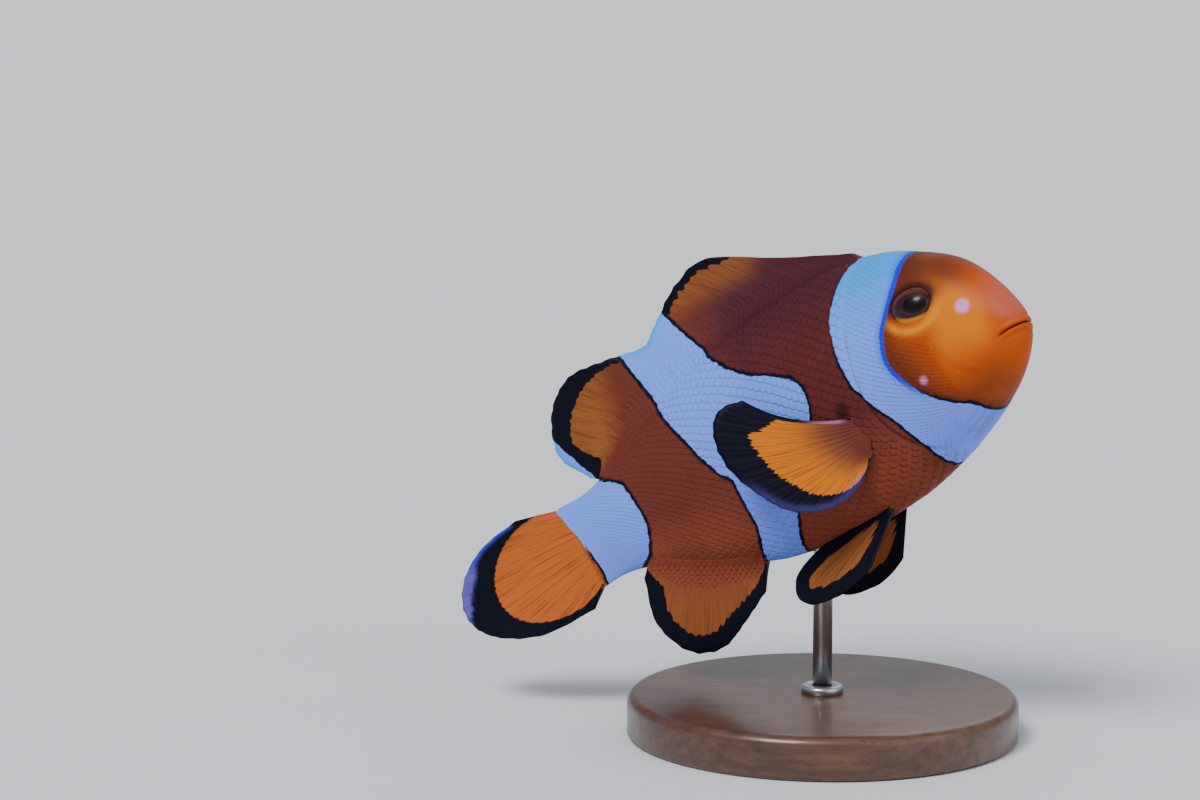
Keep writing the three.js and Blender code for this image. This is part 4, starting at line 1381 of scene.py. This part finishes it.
def stand_parts():
    """Turned meshes of the disc, the rod and the collar where they meet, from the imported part's sizes."""
    low, high = (np.array(corner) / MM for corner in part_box("stand_base"))
    radius, height = (high[0] - low[0]) / 2, high[2]
    chamfer = STAND_DISC["chamfer"]
    disc = [(0, 0), (radius - chamfer, 0), (radius, chamfer)]
    disc += quarter(radius, height, STAND_DISC["round"])
    disc += [(radius * STAND_DISC["inner"], height), (0, height)]
    low, high = (np.array(corner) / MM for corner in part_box("stand_rod"))
    rod_radius = (high[0] - low[0]) / 2
    rod = [(0, low[2]), (rod_radius, low[2])]
    rod += quarter(rod_radius, high[2], STAND_ROD["round"]) + [(0, high[2])]
    top, foot, bevel = height + COLLAR["height"], height - COLLAR["sunk"], COLLAR["bevel"]
    collar = [(rod_radius, foot), (COLLAR["radius"], foot)]
    collar += quarter(COLLAR["radius"], top, COLLAR["round"])
    collar += [(rod_radius + bevel, top), (rod_radius, top - bevel), (rod_radius, foot)]
    parts = {"disc": (disc, STAND_DISC), "rod": (rod, STAND_ROD), "collar": (collar, COLLAR)}
    return [lathe(name, profile, sizes["around"]) for name, (profile, sizes) in parts.items()]


# ---------------- materials


def paint_tone(red, green, blue):
    """Linear colour of a paint given as ordinary display values from 0 to 255, by the sRGB curve."""
    def linear(value):
        value /= 255
        return value / 12.92 if value <= 0.04045 else ((value + 0.055) / 1.055) ** 2.4
    return linear(red), linear(green), linear(blue)


class Wire:
    """A value or colour inside a material; arithmetic on it adds Math nodes."""

    def __init__(self, finish, socket):
        self.finish = finish
        self.socket = socket

    def maths(self, operation, *values):
        return self.finish.node("ShaderNodeMath", {"operation": operation}, dict(enumerate(values)))

    def __add__(self, other):
        return self.maths("ADD", self, other)

    def __sub__(self, other):
        return self.maths("SUBTRACT", self, other)

    def __rsub__(self, other):
        return self.maths("SUBTRACT", other, self)

    def __mul__(self, other):
        return self.maths("MULTIPLY", self, other)

    __radd__ = __add__
    __rmul__ = __mul__

    def rise(self, low, high):
        """0 where this is under low, 1 where it is over high, with a smooth slope between."""
        return self.finish.node("ShaderNodeMapRange", {"interpolation_type": "SMOOTHSTEP"},
                                {"Value": self, "From Min": low, "From Max": high})

    def fall(self, low, high):
        """1 where this is under low, 0 where it is over high."""
        return 1 - self.rise(low, high)


class Finish:
    """A material under construction."""

    def __init__(self, name):
        self.material = bpy.data.materials.new(name)
        self.material.use_nodes = True
        self.tree = self.material.node_tree
        self.tree.nodes.clear()
        self.wires = {}

    def node(self, kind, settings=None, sockets=None, output=0):
        """Adds a node: its settings first, then its sockets; returns one of its outputs."""
        made = self.tree.nodes.new(kind)
        for key, value in (settings or {}).items():
            if key == "stops":
                self.set_stops(made.color_ramp, value)
            else:
                setattr(made, key, value)
        for key, value in (sockets or {}).items():
            self.feed(self.find(made.inputs, key), value)
        return Wire(self, self.find(made.outputs, output)) if made.outputs else None

    @staticmethod
    def find(sockets, key):
        """Socket by its place, its identifier or its name."""
        if isinstance(key, int):
            return sockets[key]
        return next((socket for socket in sockets if socket.identifier == key), None) or sockets[key]

    @staticmethod
    def set_stops(ramp, stops):
        """Stops of a colour ramp as (place, colour) pairs."""
        while len(ramp.elements) < len(stops):
            ramp.elements.new(1.0)
        for element, (place, colour) in zip(ramp.elements, stops):
            element.position = place
            element.color = (*colour, 1.0)

    def feed(self, socket, value):
        """Links a wire to a socket, or sets the socket's own value."""
        if isinstance(value, Wire):
            self.tree.links.new(value.socket, socket)
        elif socket.type == "RGBA" and len(value) == 3:
            socket.default_value = (*value, 1.0)
        else:
            socket.default_value = value

    def field(self, name):
        """A named wire of this material, or else a number that the mesh carries."""
        if name not in self.wires:
            self.wires[name] = self.node("ShaderNodeAttribute", {"attribute_name": name}, output="Fac")
        return self.wires[name]

    def mix(self, first, second, share):
        """first where share is 0, second where it is 1, as colours."""
        return self.node("ShaderNodeMix", {"data_type": "RGBA", "clamp_factor": True},
                         {"Factor_Float": share, "A_Color": first, "B_Color": second}, "Result_Color")

    def layered(self, colour, tones, layers):
        """Paints layers of (tone, strength, limits) over a colour.

        A limit is a field with where the layer starts and where it is full, or a field alone as its share.
        """
        for tone, share, *limits in layers:
            colour = self.mix(colour, getattr(tones, tone), self.limited(limits, share))
        return colour

    def limited(self, limits, share=1):
        """A strength times all of its limits."""
        for name, *ends in limits:
            wire = self.field(name)
            if ends:
                start, full = ends
                wire = wire.rise(start, full) if start < full else wire.fall(full, start)
            share = wire if share == 1 else wire * share
        return share

    def vector(self, x, y, z):
        """Three numbers as one vector."""
        return self.node("ShaderNodeCombineXYZ", None, {"X": x, "Y": y, "Z": z})

    def place(self):
        """Where a point is in the model, in metres."""
        return self.node("ShaderNodeTexCoord", None, None, "Object")

    def stretched(self, stretch, detail=2.0, roughness=0.5):
        """Noise with its own size along each axis of the model."""
        sockets = {"Vector": self.place(), "Scale": stretch}
        return self.noise(self.node("ShaderNodeMapping", None, sockets), 1.0, detail, roughness)

    def noise(self, vector, scale, detail=2.0, roughness=0.5):
        """Even noise from 0 to 1."""
        sockets = {"Vector": vector, "Scale": scale, "Detail": detail, "Roughness": roughness}
        return self.node("ShaderNodeTexNoise", None, sockets, "Fac")

    def surface(self, bumps=None, **sockets):
        """Ends the material in a Principled shader; bumps are (height, strength, distance)."""
        inputs = {key.replace("_", " "): value for key, value in sockets.items()}
        normal = None
        for height, strength, distance in bumps or []:
            base = {} if normal is None else {"Normal": normal}
            normal = self.node("ShaderNodeBump", None,
                               {"Height": height, "Strength": strength, "Distance": distance, **base})
        if normal is not None:
            inputs["Normal"] = normal
        shader = self.node("ShaderNodeBsdfPrincipled", None, inputs)
        self.node("ShaderNodeOutputMaterial", None, {"Surface": shader})
        return self.material


# Layers of paint, each with its tone, strength and limits, as Finish.layered reads them.
FLESH_LAYERS = [
    ("nape", 0.94, ("station", 0.026, 0.105), ("height", 0.38, 0.82)),
    ("brow", 0.95, ("station", 0.022, 0.055), ("station", 0.165, 0.105), ("height", -0.50, 0.15),
     ("height", 0.88, 0.50)),
    # The snout's top is pinker, partly its own colour and partly a painted reflection of blue light.
    ("snout", 0.70, ("station", 0.060, 0.018), ("height", 0.15, 0.80)),
    ("cheek", 0.90, ("station", 0.115, 0.205), ("height", 0.50, -0.05)),
    ("cheek", 0.75, ("station", 0.020, 0.080), ("height", -0.30, -0.80)),
    # These two rows darken the face behind the eye and towards the head bar's front edge.
    ("shade", 0.30, ("station", 0.175, 0.235)),
    ("shade", 0.42, ("bar_front", -3.6, -0.3), ("station", 0.26, 0.24)),
    ("trunk", 1, ("station", 0.22, 0.31)),
    ("back", 1, ("station", 0.24, 0.32), ("height", 0.35, 1.0), ("station", 0.70, 0.60)),
    ("rear", 1, ("station", 0.52, 0.66)),
    ("belly", 0.80, ("height", -0.10, -0.80), ("station", 0.24, 0.32)),
    ("disc", 1, ("station", 0.965, 0.985)),
    ("shade", 0.16, ("clouds", 0.45, 0.80)),
    ("brow", 0.15, ("clouds", 0.50, 0.20), ("station", 0.30, 0.20)),
    ("shade", 0.14, ("grain", 0.50, 0.85)),
]
FIN_LAYERS = [
    ("disc", 1, ("station", 0.96, 1.0)),
    ("brow", 0.90, ("breast",), ("reach", 0.25, 0.60)),
    ("trunk", 0.85, ("breast",), ("reach", 0.45, 0.05)),
    ("shade", 0.55, ("streaks", 0.46, 0.74)),
    ("shade", 0.22, ("rays", 0.52, 0.70)),
]
# The brow field is painted shade over each eye and round its rim.
EYE_LAYERS = [("shade", 0.80, ("brow",)), ("under_eye", 1, ("glow",))]
OUTLINE_LAYERS = [("black", 1, ("wavy_bar", -0.58, -0.26), ("drawn",))]
# Painted light: the bars turn cyan at the top and on the fin edges within them, as if lit from above;
# bar_shade paints them lilac lower down and mottles them.
BAR_LAYERS = [
    ("bar_top", 1, ("height", 0.30, 1.0), ("station", 0.55, 0.40)),
    ("bar_shade", 0.60, ("height", 0.15, -0.75)),
    ("bar_shade", 0.25, ("bar_clouds", 0.40, 0.75)),
    ("bar_top", 0.90, ("fin",), ("rim", 0.90, 0.25)),
    ("bar_edge", 0.30, ("wavy_front", 1.60, 0.70), ("height", -0.60, 0.0)),
]
MARGIN_LAYERS = [
    ("bar_edge", 1, ("wavy_front", -0.22, -0.02), ("wavy_front", 0.70, 0.42), ("lined",)),
    ("black", 1, ("wavy_black", -0.08, 0.10), ("off_bar",)),
]
CLEAR_LAYERS = [
    ("black", 0.40, ("veins", 0.45, 0.75)),
    ("bar_edge", 0.70, ("station", 0.98, 1.0), ("height", 0.85, 1.10)),
]
LAST_LAYERS = [
    # Painted shade in the folds, the mouth's slit and the pits, and the dark blotch by the breast fin.
    ("crease", 0.85, ("crease", 0.05, 1.0)),
    ("shade", 0.10, ("tone", 0.45, 0.0), ("off_bar",)),
]
# Noise over the body, as size and detail.
BODY_NOISES = {"clouds": (170, 3), "grain": (2400, 2), "bar_clouds": (230, 3), "waver": (1100, 2),
               "sheen": (700, 2), "pores": (5200, 2), "bumps": (1500, 2)}
# Noise along the fin rays: rate across them, rate along them, size, detail and roughness.
RAY_NOISES = {"streaks": (2.2, 1.1, 2.0, 3.0, 0.6), "rays": (7.0, 0.8, 1.5, 1.0, 0.5),
              "veins": (4.0, 2.0, 2.0, 2.0, 0.5), "ribs": (9.0, 0.9, 1.6, 1.0, 0.5)}
RAY_SHIFT = 3.0  # of the noise called rays, so that it differs from the others
WAVER = {"middle": 0.5, "size": 0.45, "fine": 0.4}
MASKS = {
    "breast": [("fin",), ("station", 0.366, 0.370), ("station", 0.378, 0.374)],
    "lined": [("height", -0.50, -0.05)],
    "on_bar": [("wavy_bar", -0.06, 0.08)],
}
# Where the bars have no dark outline, as strength and limits.
UNDRAWN = [
    (1, ("wavy_front", 0.90, 0.60), ("lined",)),
    (1, ("station", 0.965, 0.980), ("height", -0.35, 0.10)),
    (0.75, ("station", 0.25, 0.27), ("station", 0.38, 0.36), ("height", 0.20, 0.45)),
]
CLEAR_SHOWN = [[("fin",), ("reach", 0.45, 0.60)], [("station", 0.92, 0.94)]]
SKIN_GLOSS = {"roughness": 0.42, "spread": 0.14, "ribs": 1.5, "bump": (0.30, 0.00003)}
SKIN_SHADER = {"Specular_IOR_Level": 0.12, "Subsurface_Weight": 0.04,
               "Subsurface_Radius": (1.0, 0.35, 0.18), "Subsurface_Scale": 0.0006}


def fish_wires(paint):
    """Names the noises, masks and wavy outlines that the layers of the fish's paint use."""
    place, wires = paint.place(), paint.wires
    for key, (scale, detail) in BODY_NOISES.items():
        wires[key] = paint.noise(place, scale, detail)
    wobble = (wires["waver"] - WAVER["middle"]) * WAVER["size"]
    wires["wavy_bar"] = paint.field("bar") + wobble
    wires["wavy_front"] = paint.field("bar_front") + wobble * WAVER["fine"]
    wires["wavy_black"] = paint.field("black") + wobble * WAVER["fine"]
    for key, limits in MASKS.items():
        wires[key] = paint.limited(limits)
    wires["off_bar"] = 1 - wires["on_bar"]
    wires["drawn"] = 1
    for share, *limits in UNDRAWN:
        wires["drawn"] = (1 - paint.limited(limits, share)) * wires["drawn"]
    offsets = {"streaks": wires["breast"], "rays": RAY_SHIFT}
    for key, (across, along, *settings) in RAY_NOISES.items():
        ray, reach = paint.field("ray") * across, paint.field("reach") * along
        wires[key] = paint.noise(paint.vector(ray, reach, offsets.get(key, 0.0)), *settings)


def fish_finish(tones, name):
    """Painted skin: flesh, white bars with dark outlines, fins with black margins; satin and soft."""
    paint = Finish(name)
    fish_wires(paint)
    fin, field = paint.field("fin"), paint.field
    colour = paint.layered(tones.head, tones, FLESH_LAYERS)
    colour = paint.mix(colour, paint.layered(tones.amber, tones, FIN_LAYERS), field("amber"))
    colour = paint.layered(colour, tones, EYE_LAYERS + OUTLINE_LAYERS)
    colour = paint.mix(colour, paint.layered(tones.bar, tones, BAR_LAYERS), field("on_bar"))
    colour = paint.layered(colour, tones, MARGIN_LAYERS)
    clear, pale = paint.layered(tones.clear, tones, CLEAR_LAYERS), tones.pale
    for limits in CLEAR_SHOWN:
        pale = paint.mix(pale, clear, paint.limited(limits))
    colour = paint.layered(paint.mix(colour, pale, field("pale")), tones, LAST_LAYERS)
    fine = field("pores") + field("bumps")
    height = fine * (1 - fin) + field("ribs") * fin * SKIN_GLOSS["ribs"]
    rough = field("sheen") * SKIN_GLOSS["spread"] + SKIN_GLOSS["roughness"]
    return paint.surface(bumps=[(height, *SKIN_GLOSS["bump"])], Base_Color=colour, Roughness=rough,
                         **SKIN_SHADER)


EYE_THREADS = (2600.0, 3.0, 0.7)  # size, detail and roughness
IRIS_LAYERS = [
    ("iris_dark", 1, ("threads", 0.35, 0.70)),
    ("gilt", 0.15, ("pupil", 1.02, 1.10), ("pupil", 1.30, 1.12), ("threads", 0.75, 0.35)),
]
# The border's brown is painted shade on the top of the eye; it turns golden at the bottom.
BORDER_LAYERS = [
    ("under_eye", 1, ("ball_up", -0.30, -0.66)),
    ("iris_dark", 0.30, ("threads", 0.40, 0.80)),
]
IRIS_EDGE = [("iris", 0.86, 1.12)]
PUPIL_EDGE = [("pupil", 0.92, 1.06)]
EYE_SHADER = {"Roughness": 0.35, "Specular_IOR_Level": 0.15, "Coat_Weight": 0.25, "Coat_Roughness": 0.08,
              "Coat_IOR": 1.40}


def eye_finish(tones):
    """Glass eye: near-black pupil, purple-brown iris, golden below and a painted shade of brown above,
    under a clear coat.
    """
    paint = Finish("glass_eye")
    paint.wires["threads"] = paint.noise(paint.place(), *EYE_THREADS)
    iris = paint.layered(tones.iris, tones, IRIS_LAYERS)
    border = paint.layered(tones.shaded_eye_top, tones, BORDER_LAYERS)
    iris = paint.mix(iris, border, paint.limited(IRIS_EDGE))
    return paint.surface(Base_Color=paint.mix(tones.pupil, iris, paint.limited(PUPIL_EDGE)), **EYE_SHADER)


# Noises of wood and steel, as their sizes along the three axes with detail and roughness.
GRAIN = ((60.0, 900.0, 900.0), 4.0, 0.6)
PORES = ((300.0, 5000.0, 5000.0), 2.0)
ROD_MARKS = ((9000.0, 9000.0, 350.0), 3.0)
COLLAR_MARKS = ((1500.0, 1500.0, 9000.0), 3.0)
WOOD = {"grain": 0.7, "drift": 0.5, "drift_size": 35.0, "gloss_size": 300.0, "gloss": (0.15, 0.30),
        "bump": (0.25, 0.00005)}
WOOD_STOPS = [(0.30, "wood_dark"), (0.55, "wood"), (0.78, "wood_light")]
PORE_LAYERS = [("wood_dark", 0.6, ("pore",))]
PORE = (0.60, 0.72)
WOOD_COAT = {"Coat_Weight": 0.35, "Coat_Roughness": 0.18}
STEEL = {"gloss": (0.20, 0.22), "bump": (0.12, 0.00001)}
STEEL_LAYERS = [("steel_dark", 0.5, ("marks", 0.40, 0.75))]
FLOOR = {"darker": 0.96, "size": 9.0}
FLOOR_SHADER = {"Roughness": 0.90, "Specular_IOR_Level": 0.05}


def wood_finish(tones):
    """Dark oiled wood with long grain and fine pores."""
    paint = Finish("oiled_wood")
    drift = paint.noise(paint.place(), WOOD["drift_size"])
    bands = paint.stretched(*GRAIN) * WOOD["grain"] + drift * WOOD["drift"]
    stops = [(place, getattr(tones, tone)) for place, tone in WOOD_STOPS]
    colour = paint.node("ShaderNodeValToRGB", {"stops": stops}, {"Fac": bands}, "Color")
    pore = paint.wires["pore"] = paint.stretched(*PORES).rise(*PORE)
    colour = paint.layered(colour, tones, PORE_LAYERS)
    spread, least = WOOD["gloss"]
    rough = paint.noise(paint.place(), WOOD["gloss_size"]) * spread + least
    return paint.surface(bumps=[(1 - pore, *WOOD["bump"])], Base_Color=colour, Roughness=rough, **WOOD_COAT)


def steel_finish(tones, name, brushed):
    """Brushed steel, with brush marks along the rod or round the collar."""
    paint = Finish(name)
    marks = paint.wires["marks"] = paint.stretched(*brushed)
    colour = paint.layered(tones.steel, tones, STEEL_LAYERS)
    spread, least = STEEL["gloss"]
    return paint.surface(bumps=[(marks, *STEEL["bump"])], Base_Color=colour, Metallic=1.0,
                         Roughness=marks * spread + least)


def floor_finish(tone):
    """Plain matt floor with the faintest unevenness."""
    paint = Finish("pale_floor")
    faint = paint.noise(paint.place(), FLOOR["size"])
    darker = tuple(FLOOR["darker"] * value for value in tone)
    return paint.surface(Base_Color=paint.mix(tone, darker, faint), **FLOOR_SHADER)


# ---------------- what a user may change


def tone_property(name, description, red, green, blue):
    """A colour a user may change."""
    return bpy.props.FloatVectorProperty(name=name, description=description, subtype="COLOR", size=3,
                                         min=0, max=1, default=paint_tone(red, green, blue))


class ClownfishTones(bpy.types.PropertyGroup):
    """Paints of the fish and its stand."""

    head: tone_property("Head", "Orange of the head", 192, 76, 6)
    brow: tone_property("Brow", "Golden orange between snout and eye", 214, 116, 0)
    nape: tone_property("Nape", "Reddish brown of the forehead", 106, 48, 26)
    cheek: tone_property("Cheek", "Browner orange of the cheek", 130, 58, 26)
    # Its pink is partly a painted reflection of blue light on the top of the snout.
    snout: tone_property("Snout", "Pinkish orange of the lips", 178, 86, 78)
    trunk: tone_property("Trunk", "Dark red-brown behind the head bar", 90, 36, 35)
    back: tone_property("Back", "Darker brown of the back", 74, 32, 42)
    rear: tone_property("Rear", "Orange-brown behind the middle bar", 106, 47, 36)
    belly: tone_property("Belly", "Lighter brown low on the sides", 140, 67, 46)
    # Also the painted shade over the eyes, and the darkening of the face towards the head bar.
    shade: tone_property("Shade", "Brown of mottling and streaks", 62, 24, 18)
    amber: tone_property("Amber", "Amber of the fins", 144, 83, 38)
    disc: tone_property("Tail disc", "Orange of the tail fin", 190, 96, 36)
    # A white that is partly bluish of its own and partly the painted blue of the lamps' light.
    bar: tone_property("Bar", "Blue-white of the bars", 108, 152, 255)
    # Painted light: the cyan of light from above on the tops of the bars.
    bar_top: tone_property("Bar top", "Cyan tint at the top of the head bar", 6, 160, 250)
    bar_shade: tone_property("Bar shade", "Lilac low in the bars", 120, 138, 255)
    bar_edge: tone_property("Bar edge", "Blue line at the front of the head bar", 14, 40, 214)
    # Its blue is the painted tint of blue lamp light.
    black: tone_property("Black", "Blue-black outlines and fin margins", 2, 4, 22)
    # Also the painted highlight round each nostril.
    pale: tone_property("Pale spots", "Pinkish lilac of the face spots", 226, 150, 206)
    clear: tone_property("Clear edge", "Violet of the clear fin edges", 104, 94, 190)
    # Painted shade of the mouth's slit, the pits and the folds, and the dark blotch by the breast fin.
    crease: tone_property("Fold shade and blotch", "Dark of the mouth, pits and folds", 46, 16, 12)
    under_eye: tone_property("Under the eye", "Yellow crescent under the eye", 222, 136, 10)
    pupil: tone_property("Pupil", "Black of the pupil", 2, 2, 6)
    iris: tone_property("Iris", "Purple-brown of the iris", 44, 20, 30)
    iris_dark: tone_property("Dark iris", "Dark threads of the iris", 20, 9, 17)
    gilt: tone_property("Gilt", "Broken gilt ring of the iris", 140, 84, 40)
    # Painted shade: the brown that darkens the top of the eye's border.
    shaded_eye_top: tone_property("Shaded eye top", "Brown of the upper edge of the eye", 84, 36, 18)
    wood: tone_property("Wood", "Oiled wood of the disc", 74, 46, 30)
    wood_dark: tone_property("Dark wood", "Dark grain", 40, 24, 16)
    wood_light: tone_property("Light wood", "Light grain", 104, 68, 44)
    steel: tone_property("Steel", "Steel of the rod", 190, 192, 196)
    steel_dark: tone_property("Dark steel", "Brush marks in the steel", 128, 130, 136)
    floor: tone_property("Floor", "Plain pale floor", 226, 228, 232)
    sky: tone_property("Studio light", "Even light from all round", 232, 238, 250)


def size_property(name, description, default, most, least=0, **kind):
    """A size or strength a user may change."""
    return bpy.props.FloatProperty(name=name, description=description, default=default, min=least, max=most,
                                   **kind)


class ClownfishSizes(bpy.types.PropertyGroup):
    """Sizes of the coat and the studio."""

    coat_depth: size_property("Coat depth", "How far the skin lies inside the body, for the scales",
                              0.12 * MM, 0.5 * MM, unit="LENGTH")
    eye_inset: size_property("Eye inset", "How far the eyeball lies inside its solid",
                             0.02 * MM, 0.3 * MM, unit="LENGTH")
    camera_distance: size_property("Camera distance", "From the camera to the middle of the fish",
                                   0.400, 2, 0.1, unit="LENGTH")
    camera_height: size_property("Camera elevation", "How far the camera looks down on the fish",
                                 math.radians(8), math.pi / 2, subtype="ANGLE")
    lens: size_property("Lens", "Focal length of the camera in millimetres", 94.2, 300, 10)
    key_strength: size_property("Key light", "Strength of the main soft light", 2.7, 20)
    fill_strength: size_property("Fill light", "Strength of the soft light from the other side", 0.9, 20)
    rim_strength: size_property("Rim light", "Strength of the soft light from behind", 0.4, 20)
    sky_strength: size_property("Studio light", "Strength of the even light", 0.45, 10)


def chosen():
    """The scene's tones and sizes."""
    scene = bpy.context.scene
    return scene.clownfish_tones, scene.clownfish_sizes


def finished(piece, material, nodes=()):
    """Gives a piece its material and slot, the nodes it stands for, and makes it ride on the body."""
    piece.data.materials.clear()
    piece.data.materials.append(material)
    if nodes:
        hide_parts(*nodes)
    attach(piece, "root")
    return piece


FLESH_NODES = ["head", "lower_jaw", "gill_cover_left", "gill_cover_right", "trunk", "tail_stalk",
               "fin_dorsal_spiny", "fin_dorsal_soft", "fin_anal", "fin_caudal", "fin_pectoral_left",
               "fin_pectoral_right", "fin_pelvic_left", "fin_pelvic_right"]
SIDES = {"left": 1, "right": -1}


class CLOWNFISH_OT_skin(bpy.types.Operator):
    """Make the one skin of body, lids and fins"""

    bl_idname = "clownfish.skin"
    bl_label = "Skin"

    def execute(self, context):
        tones, sizes = chosen()
        mesh = build_skin(sizes.coat_depth / MM)
        if len(mesh.polygons) == 0:
            raise RuntimeError("the body and the fins could not be joined")
        piece = new_piece("fish_skin", mesh)
        finished(piece, fish_finish(tones, "painted_skin"), FLESH_NODES)
        return {"FINISHED"}


class CLOWNFISH_OT_scales(bpy.types.Operator):
    """Lay the coat of scales over face and body"""

    bl_idname = "clownfish.scales"
    bl_label = "Scales"

    def execute(self, context):
        tones, sizes = chosen()
        depth = sizes.coat_depth / MM
        material = fish_finish(tones, "painted_scales")
        chance = np.random.default_rng(SCALE_SEED)
        zones = {
            "face": (scale_roots(*FACE_STATIONS, FACE_ROWS), True, "head_skin"),
            "body": (scale_roots(*BODY_STATIONS, BODY_ROWS), False, "body_skin"),
        }
        for zone, (roots, on_face, slot) in zones.items():
            for name, side in SIDES.items():
                kept = roots
                if on_face:
                    s = bent_station(roots[:, 0], roots[:, 1])
                    a = roots[:, 1] if side > 0 else math.pi - roots[:, 1]
                    kept = roots[on_scaled_face(s, a, np.sin(a))]
                mesh = build_scales(f"scales_{zone}_{name}", kept, side, depth, chance)
                finished(new_piece(mesh.name, mesh), material)
        for name, side in SIDES.items():
            mesh = build_fin_scales(f"scales_fins_{name}", side, chance)
            finished(new_piece(mesh.name, mesh), material)
        return {"FINISHED"}


class CLOWNFISH_OT_eyes(bpy.types.Operator):
    """Set the two glass eyes"""

    bl_idname = "clownfish.eyes"
    bl_label = "Eyes"

    def execute(self, context):
        tones, sizes = chosen()
        material = eye_finish(tones)
        for name, side in SIDES.items():
            mesh = build_eyeball(f"glass_eye_{name}", side, sizes.eye_inset / MM)
            finished(new_piece(mesh.name, mesh), material, [f"eye_{name}"])
        return {"FINISHED"}


class CLOWNFISH_OT_stand(bpy.types.Operator):
    """Turn the wooden disc, the steel rod and its collar"""

    bl_idname = "clownfish.stand"
    bl_label = "Stand"

    def execute(self, context):
        tones, _ = chosen()
        disc, rod, collar = stand_parts()
        finished(new_piece("stand_disc", disc), wood_finish(tones), ["stand_base"])
        steel = steel_finish(tones, "brushed_rod", ROD_MARKS)
        finished(new_piece("stand_pin", rod), steel, ["stand_rod"])
        steel = steel_finish(tones, "brushed_collar", COLLAR_MARKS)
        finished(new_piece("stand_collar", collar), steel)
        return {"FINISHED"}


# Lights: the way to each one from the fish, how wide it looks in degrees, and the size with its strength.
LIGHTS = {
    "key": ((-0.45, -0.75, 1.0), 22.0, "key_strength"),
    "fill": ((0.9, -0.55, 0.45), 60.0, "fill_strength"),
    "rim": ((0.2, 1.0, 0.9), 45.0, "rim_strength"),
}
FLOOR_HALF = 60.0  # metres
CLIP_START = 0.01  # metres
AIM_OFFSET = (-26.4, 0.0, 3.2)  # from the fish's middle to the point the camera looks at


def aim(piece, place, target):
    """Puts a light or camera at place, looking at target."""
    piece.location = place
    piece.rotation_euler = (Vector(target) - Vector(place)).to_track_quat("-Z", "Y").to_euler()


class CLOWNFISH_OT_stage(bpy.types.Operator):
    """Lay the floor, set the soft lights and place the camera"""

    bl_idname = "clownfish.stage"
    bl_label = "Studio"

    def execute(self, context):
        tones, sizes = chosen()
        scene = context.scene
        corners = np.array([(-1, -1, 0), (1, -1, 0), (1, 1, 0), (-1, 1, 0)]) * FLOOR_HALF / MM
        floor = new_piece("floor", new_mesh("floor", corners, [np.array([[0, 1, 2, 3]])]))
        floor.data.materials.append(floor_finish(tuple(tones.floor)))
        middle = Vector(FISH_AT) * MM
        for name, (way, width, strength) in LIGHTS.items():
            lamp = bpy.data.lights.new(f"{name}_light", "SUN")
            lamp.angle = math.radians(width)
            lamp.energy = getattr(sizes, strength)
            aim(new_piece(lamp.name, lamp), middle + Vector(way), middle)
        world = bpy.data.worlds.new("studio")
        world.use_nodes = True
        sky = world.node_tree.nodes["Background"]
        sky.inputs["Color"].default_value = (*tones.sky, 1.0)
        sky.inputs["Strength"].default_value = sizes.sky_strength
        scene.world = world
        camera = bpy.data.cameras.new("camera")
        camera.lens = sizes.lens
        camera.clip_start, camera.clip_end = CLIP_START, 4 * FLOOR_HALF
        piece = new_piece("camera", camera)
        height = sizes.camera_height
        back = Vector((0, -math.cos(height), math.sin(height)))
        aim(piece, middle + back * sizes.camera_distance, middle + Vector(AIM_OFFSET) * MM)
        scene.camera = piece
        return {"FINISHED"}


class CLOWNFISH_PT_panel(bpy.types.Panel):
    """Lists the steps that build the clownfish, and what may be changed"""

    bl_idname = "CLOWNFISH_PT_panel"
    bl_label = "Clownfish"
    bl_space_type = "VIEW_3D"
    bl_region_type = "UI"
    bl_category = "Clownfish"

    def draw(self, context):
        for step in STEPS:
            self.layout.operator(step.bl_idname)
        for group in (context.scene.clownfish_tones, context.scene.clownfish_sizes):
            box = self.layout.box()
            for name in group.bl_rna.properties.keys():
                if name not in ("rna_type", "name"):
                    box.prop(group, name)


STEPS = [CLOWNFISH_OT_stage, CLOWNFISH_OT_skin, CLOWNFISH_OT_scales, CLOWNFISH_OT_eyes, CLOWNFISH_OT_stand]
CLASSES = [ClownfishTones, ClownfishSizes, *STEPS, CLOWNFISH_PT_panel]


def register():
    """Makes the steps, the panel and the settings known to Blender."""
    for kind in CLASSES:
        bpy.utils.register_class(kind)
    bpy.types.Scene.clownfish_tones = bpy.props.PointerProperty(type=ClownfishTones)
    bpy.types.Scene.clownfish_sizes = bpy.props.PointerProperty(type=ClownfishSizes)


def unregister():
    """Takes all of it away again."""
    del bpy.types.Scene.clownfish_tones
    del bpy.types.Scene.clownfish_sizes
    for kind in reversed(CLASSES):
        bpy.utils.unregister_class(kind)


def main():
    """Builds everything in order."""
    register()
    bpy.ops.clownfish.stage()
    bpy.ops.clownfish.skin()
    bpy.ops.clownfish.scales()
    bpy.ops.clownfish.eyes()
    bpy.ops.clownfish.stand()


if __name__ == "__main__":
    main()
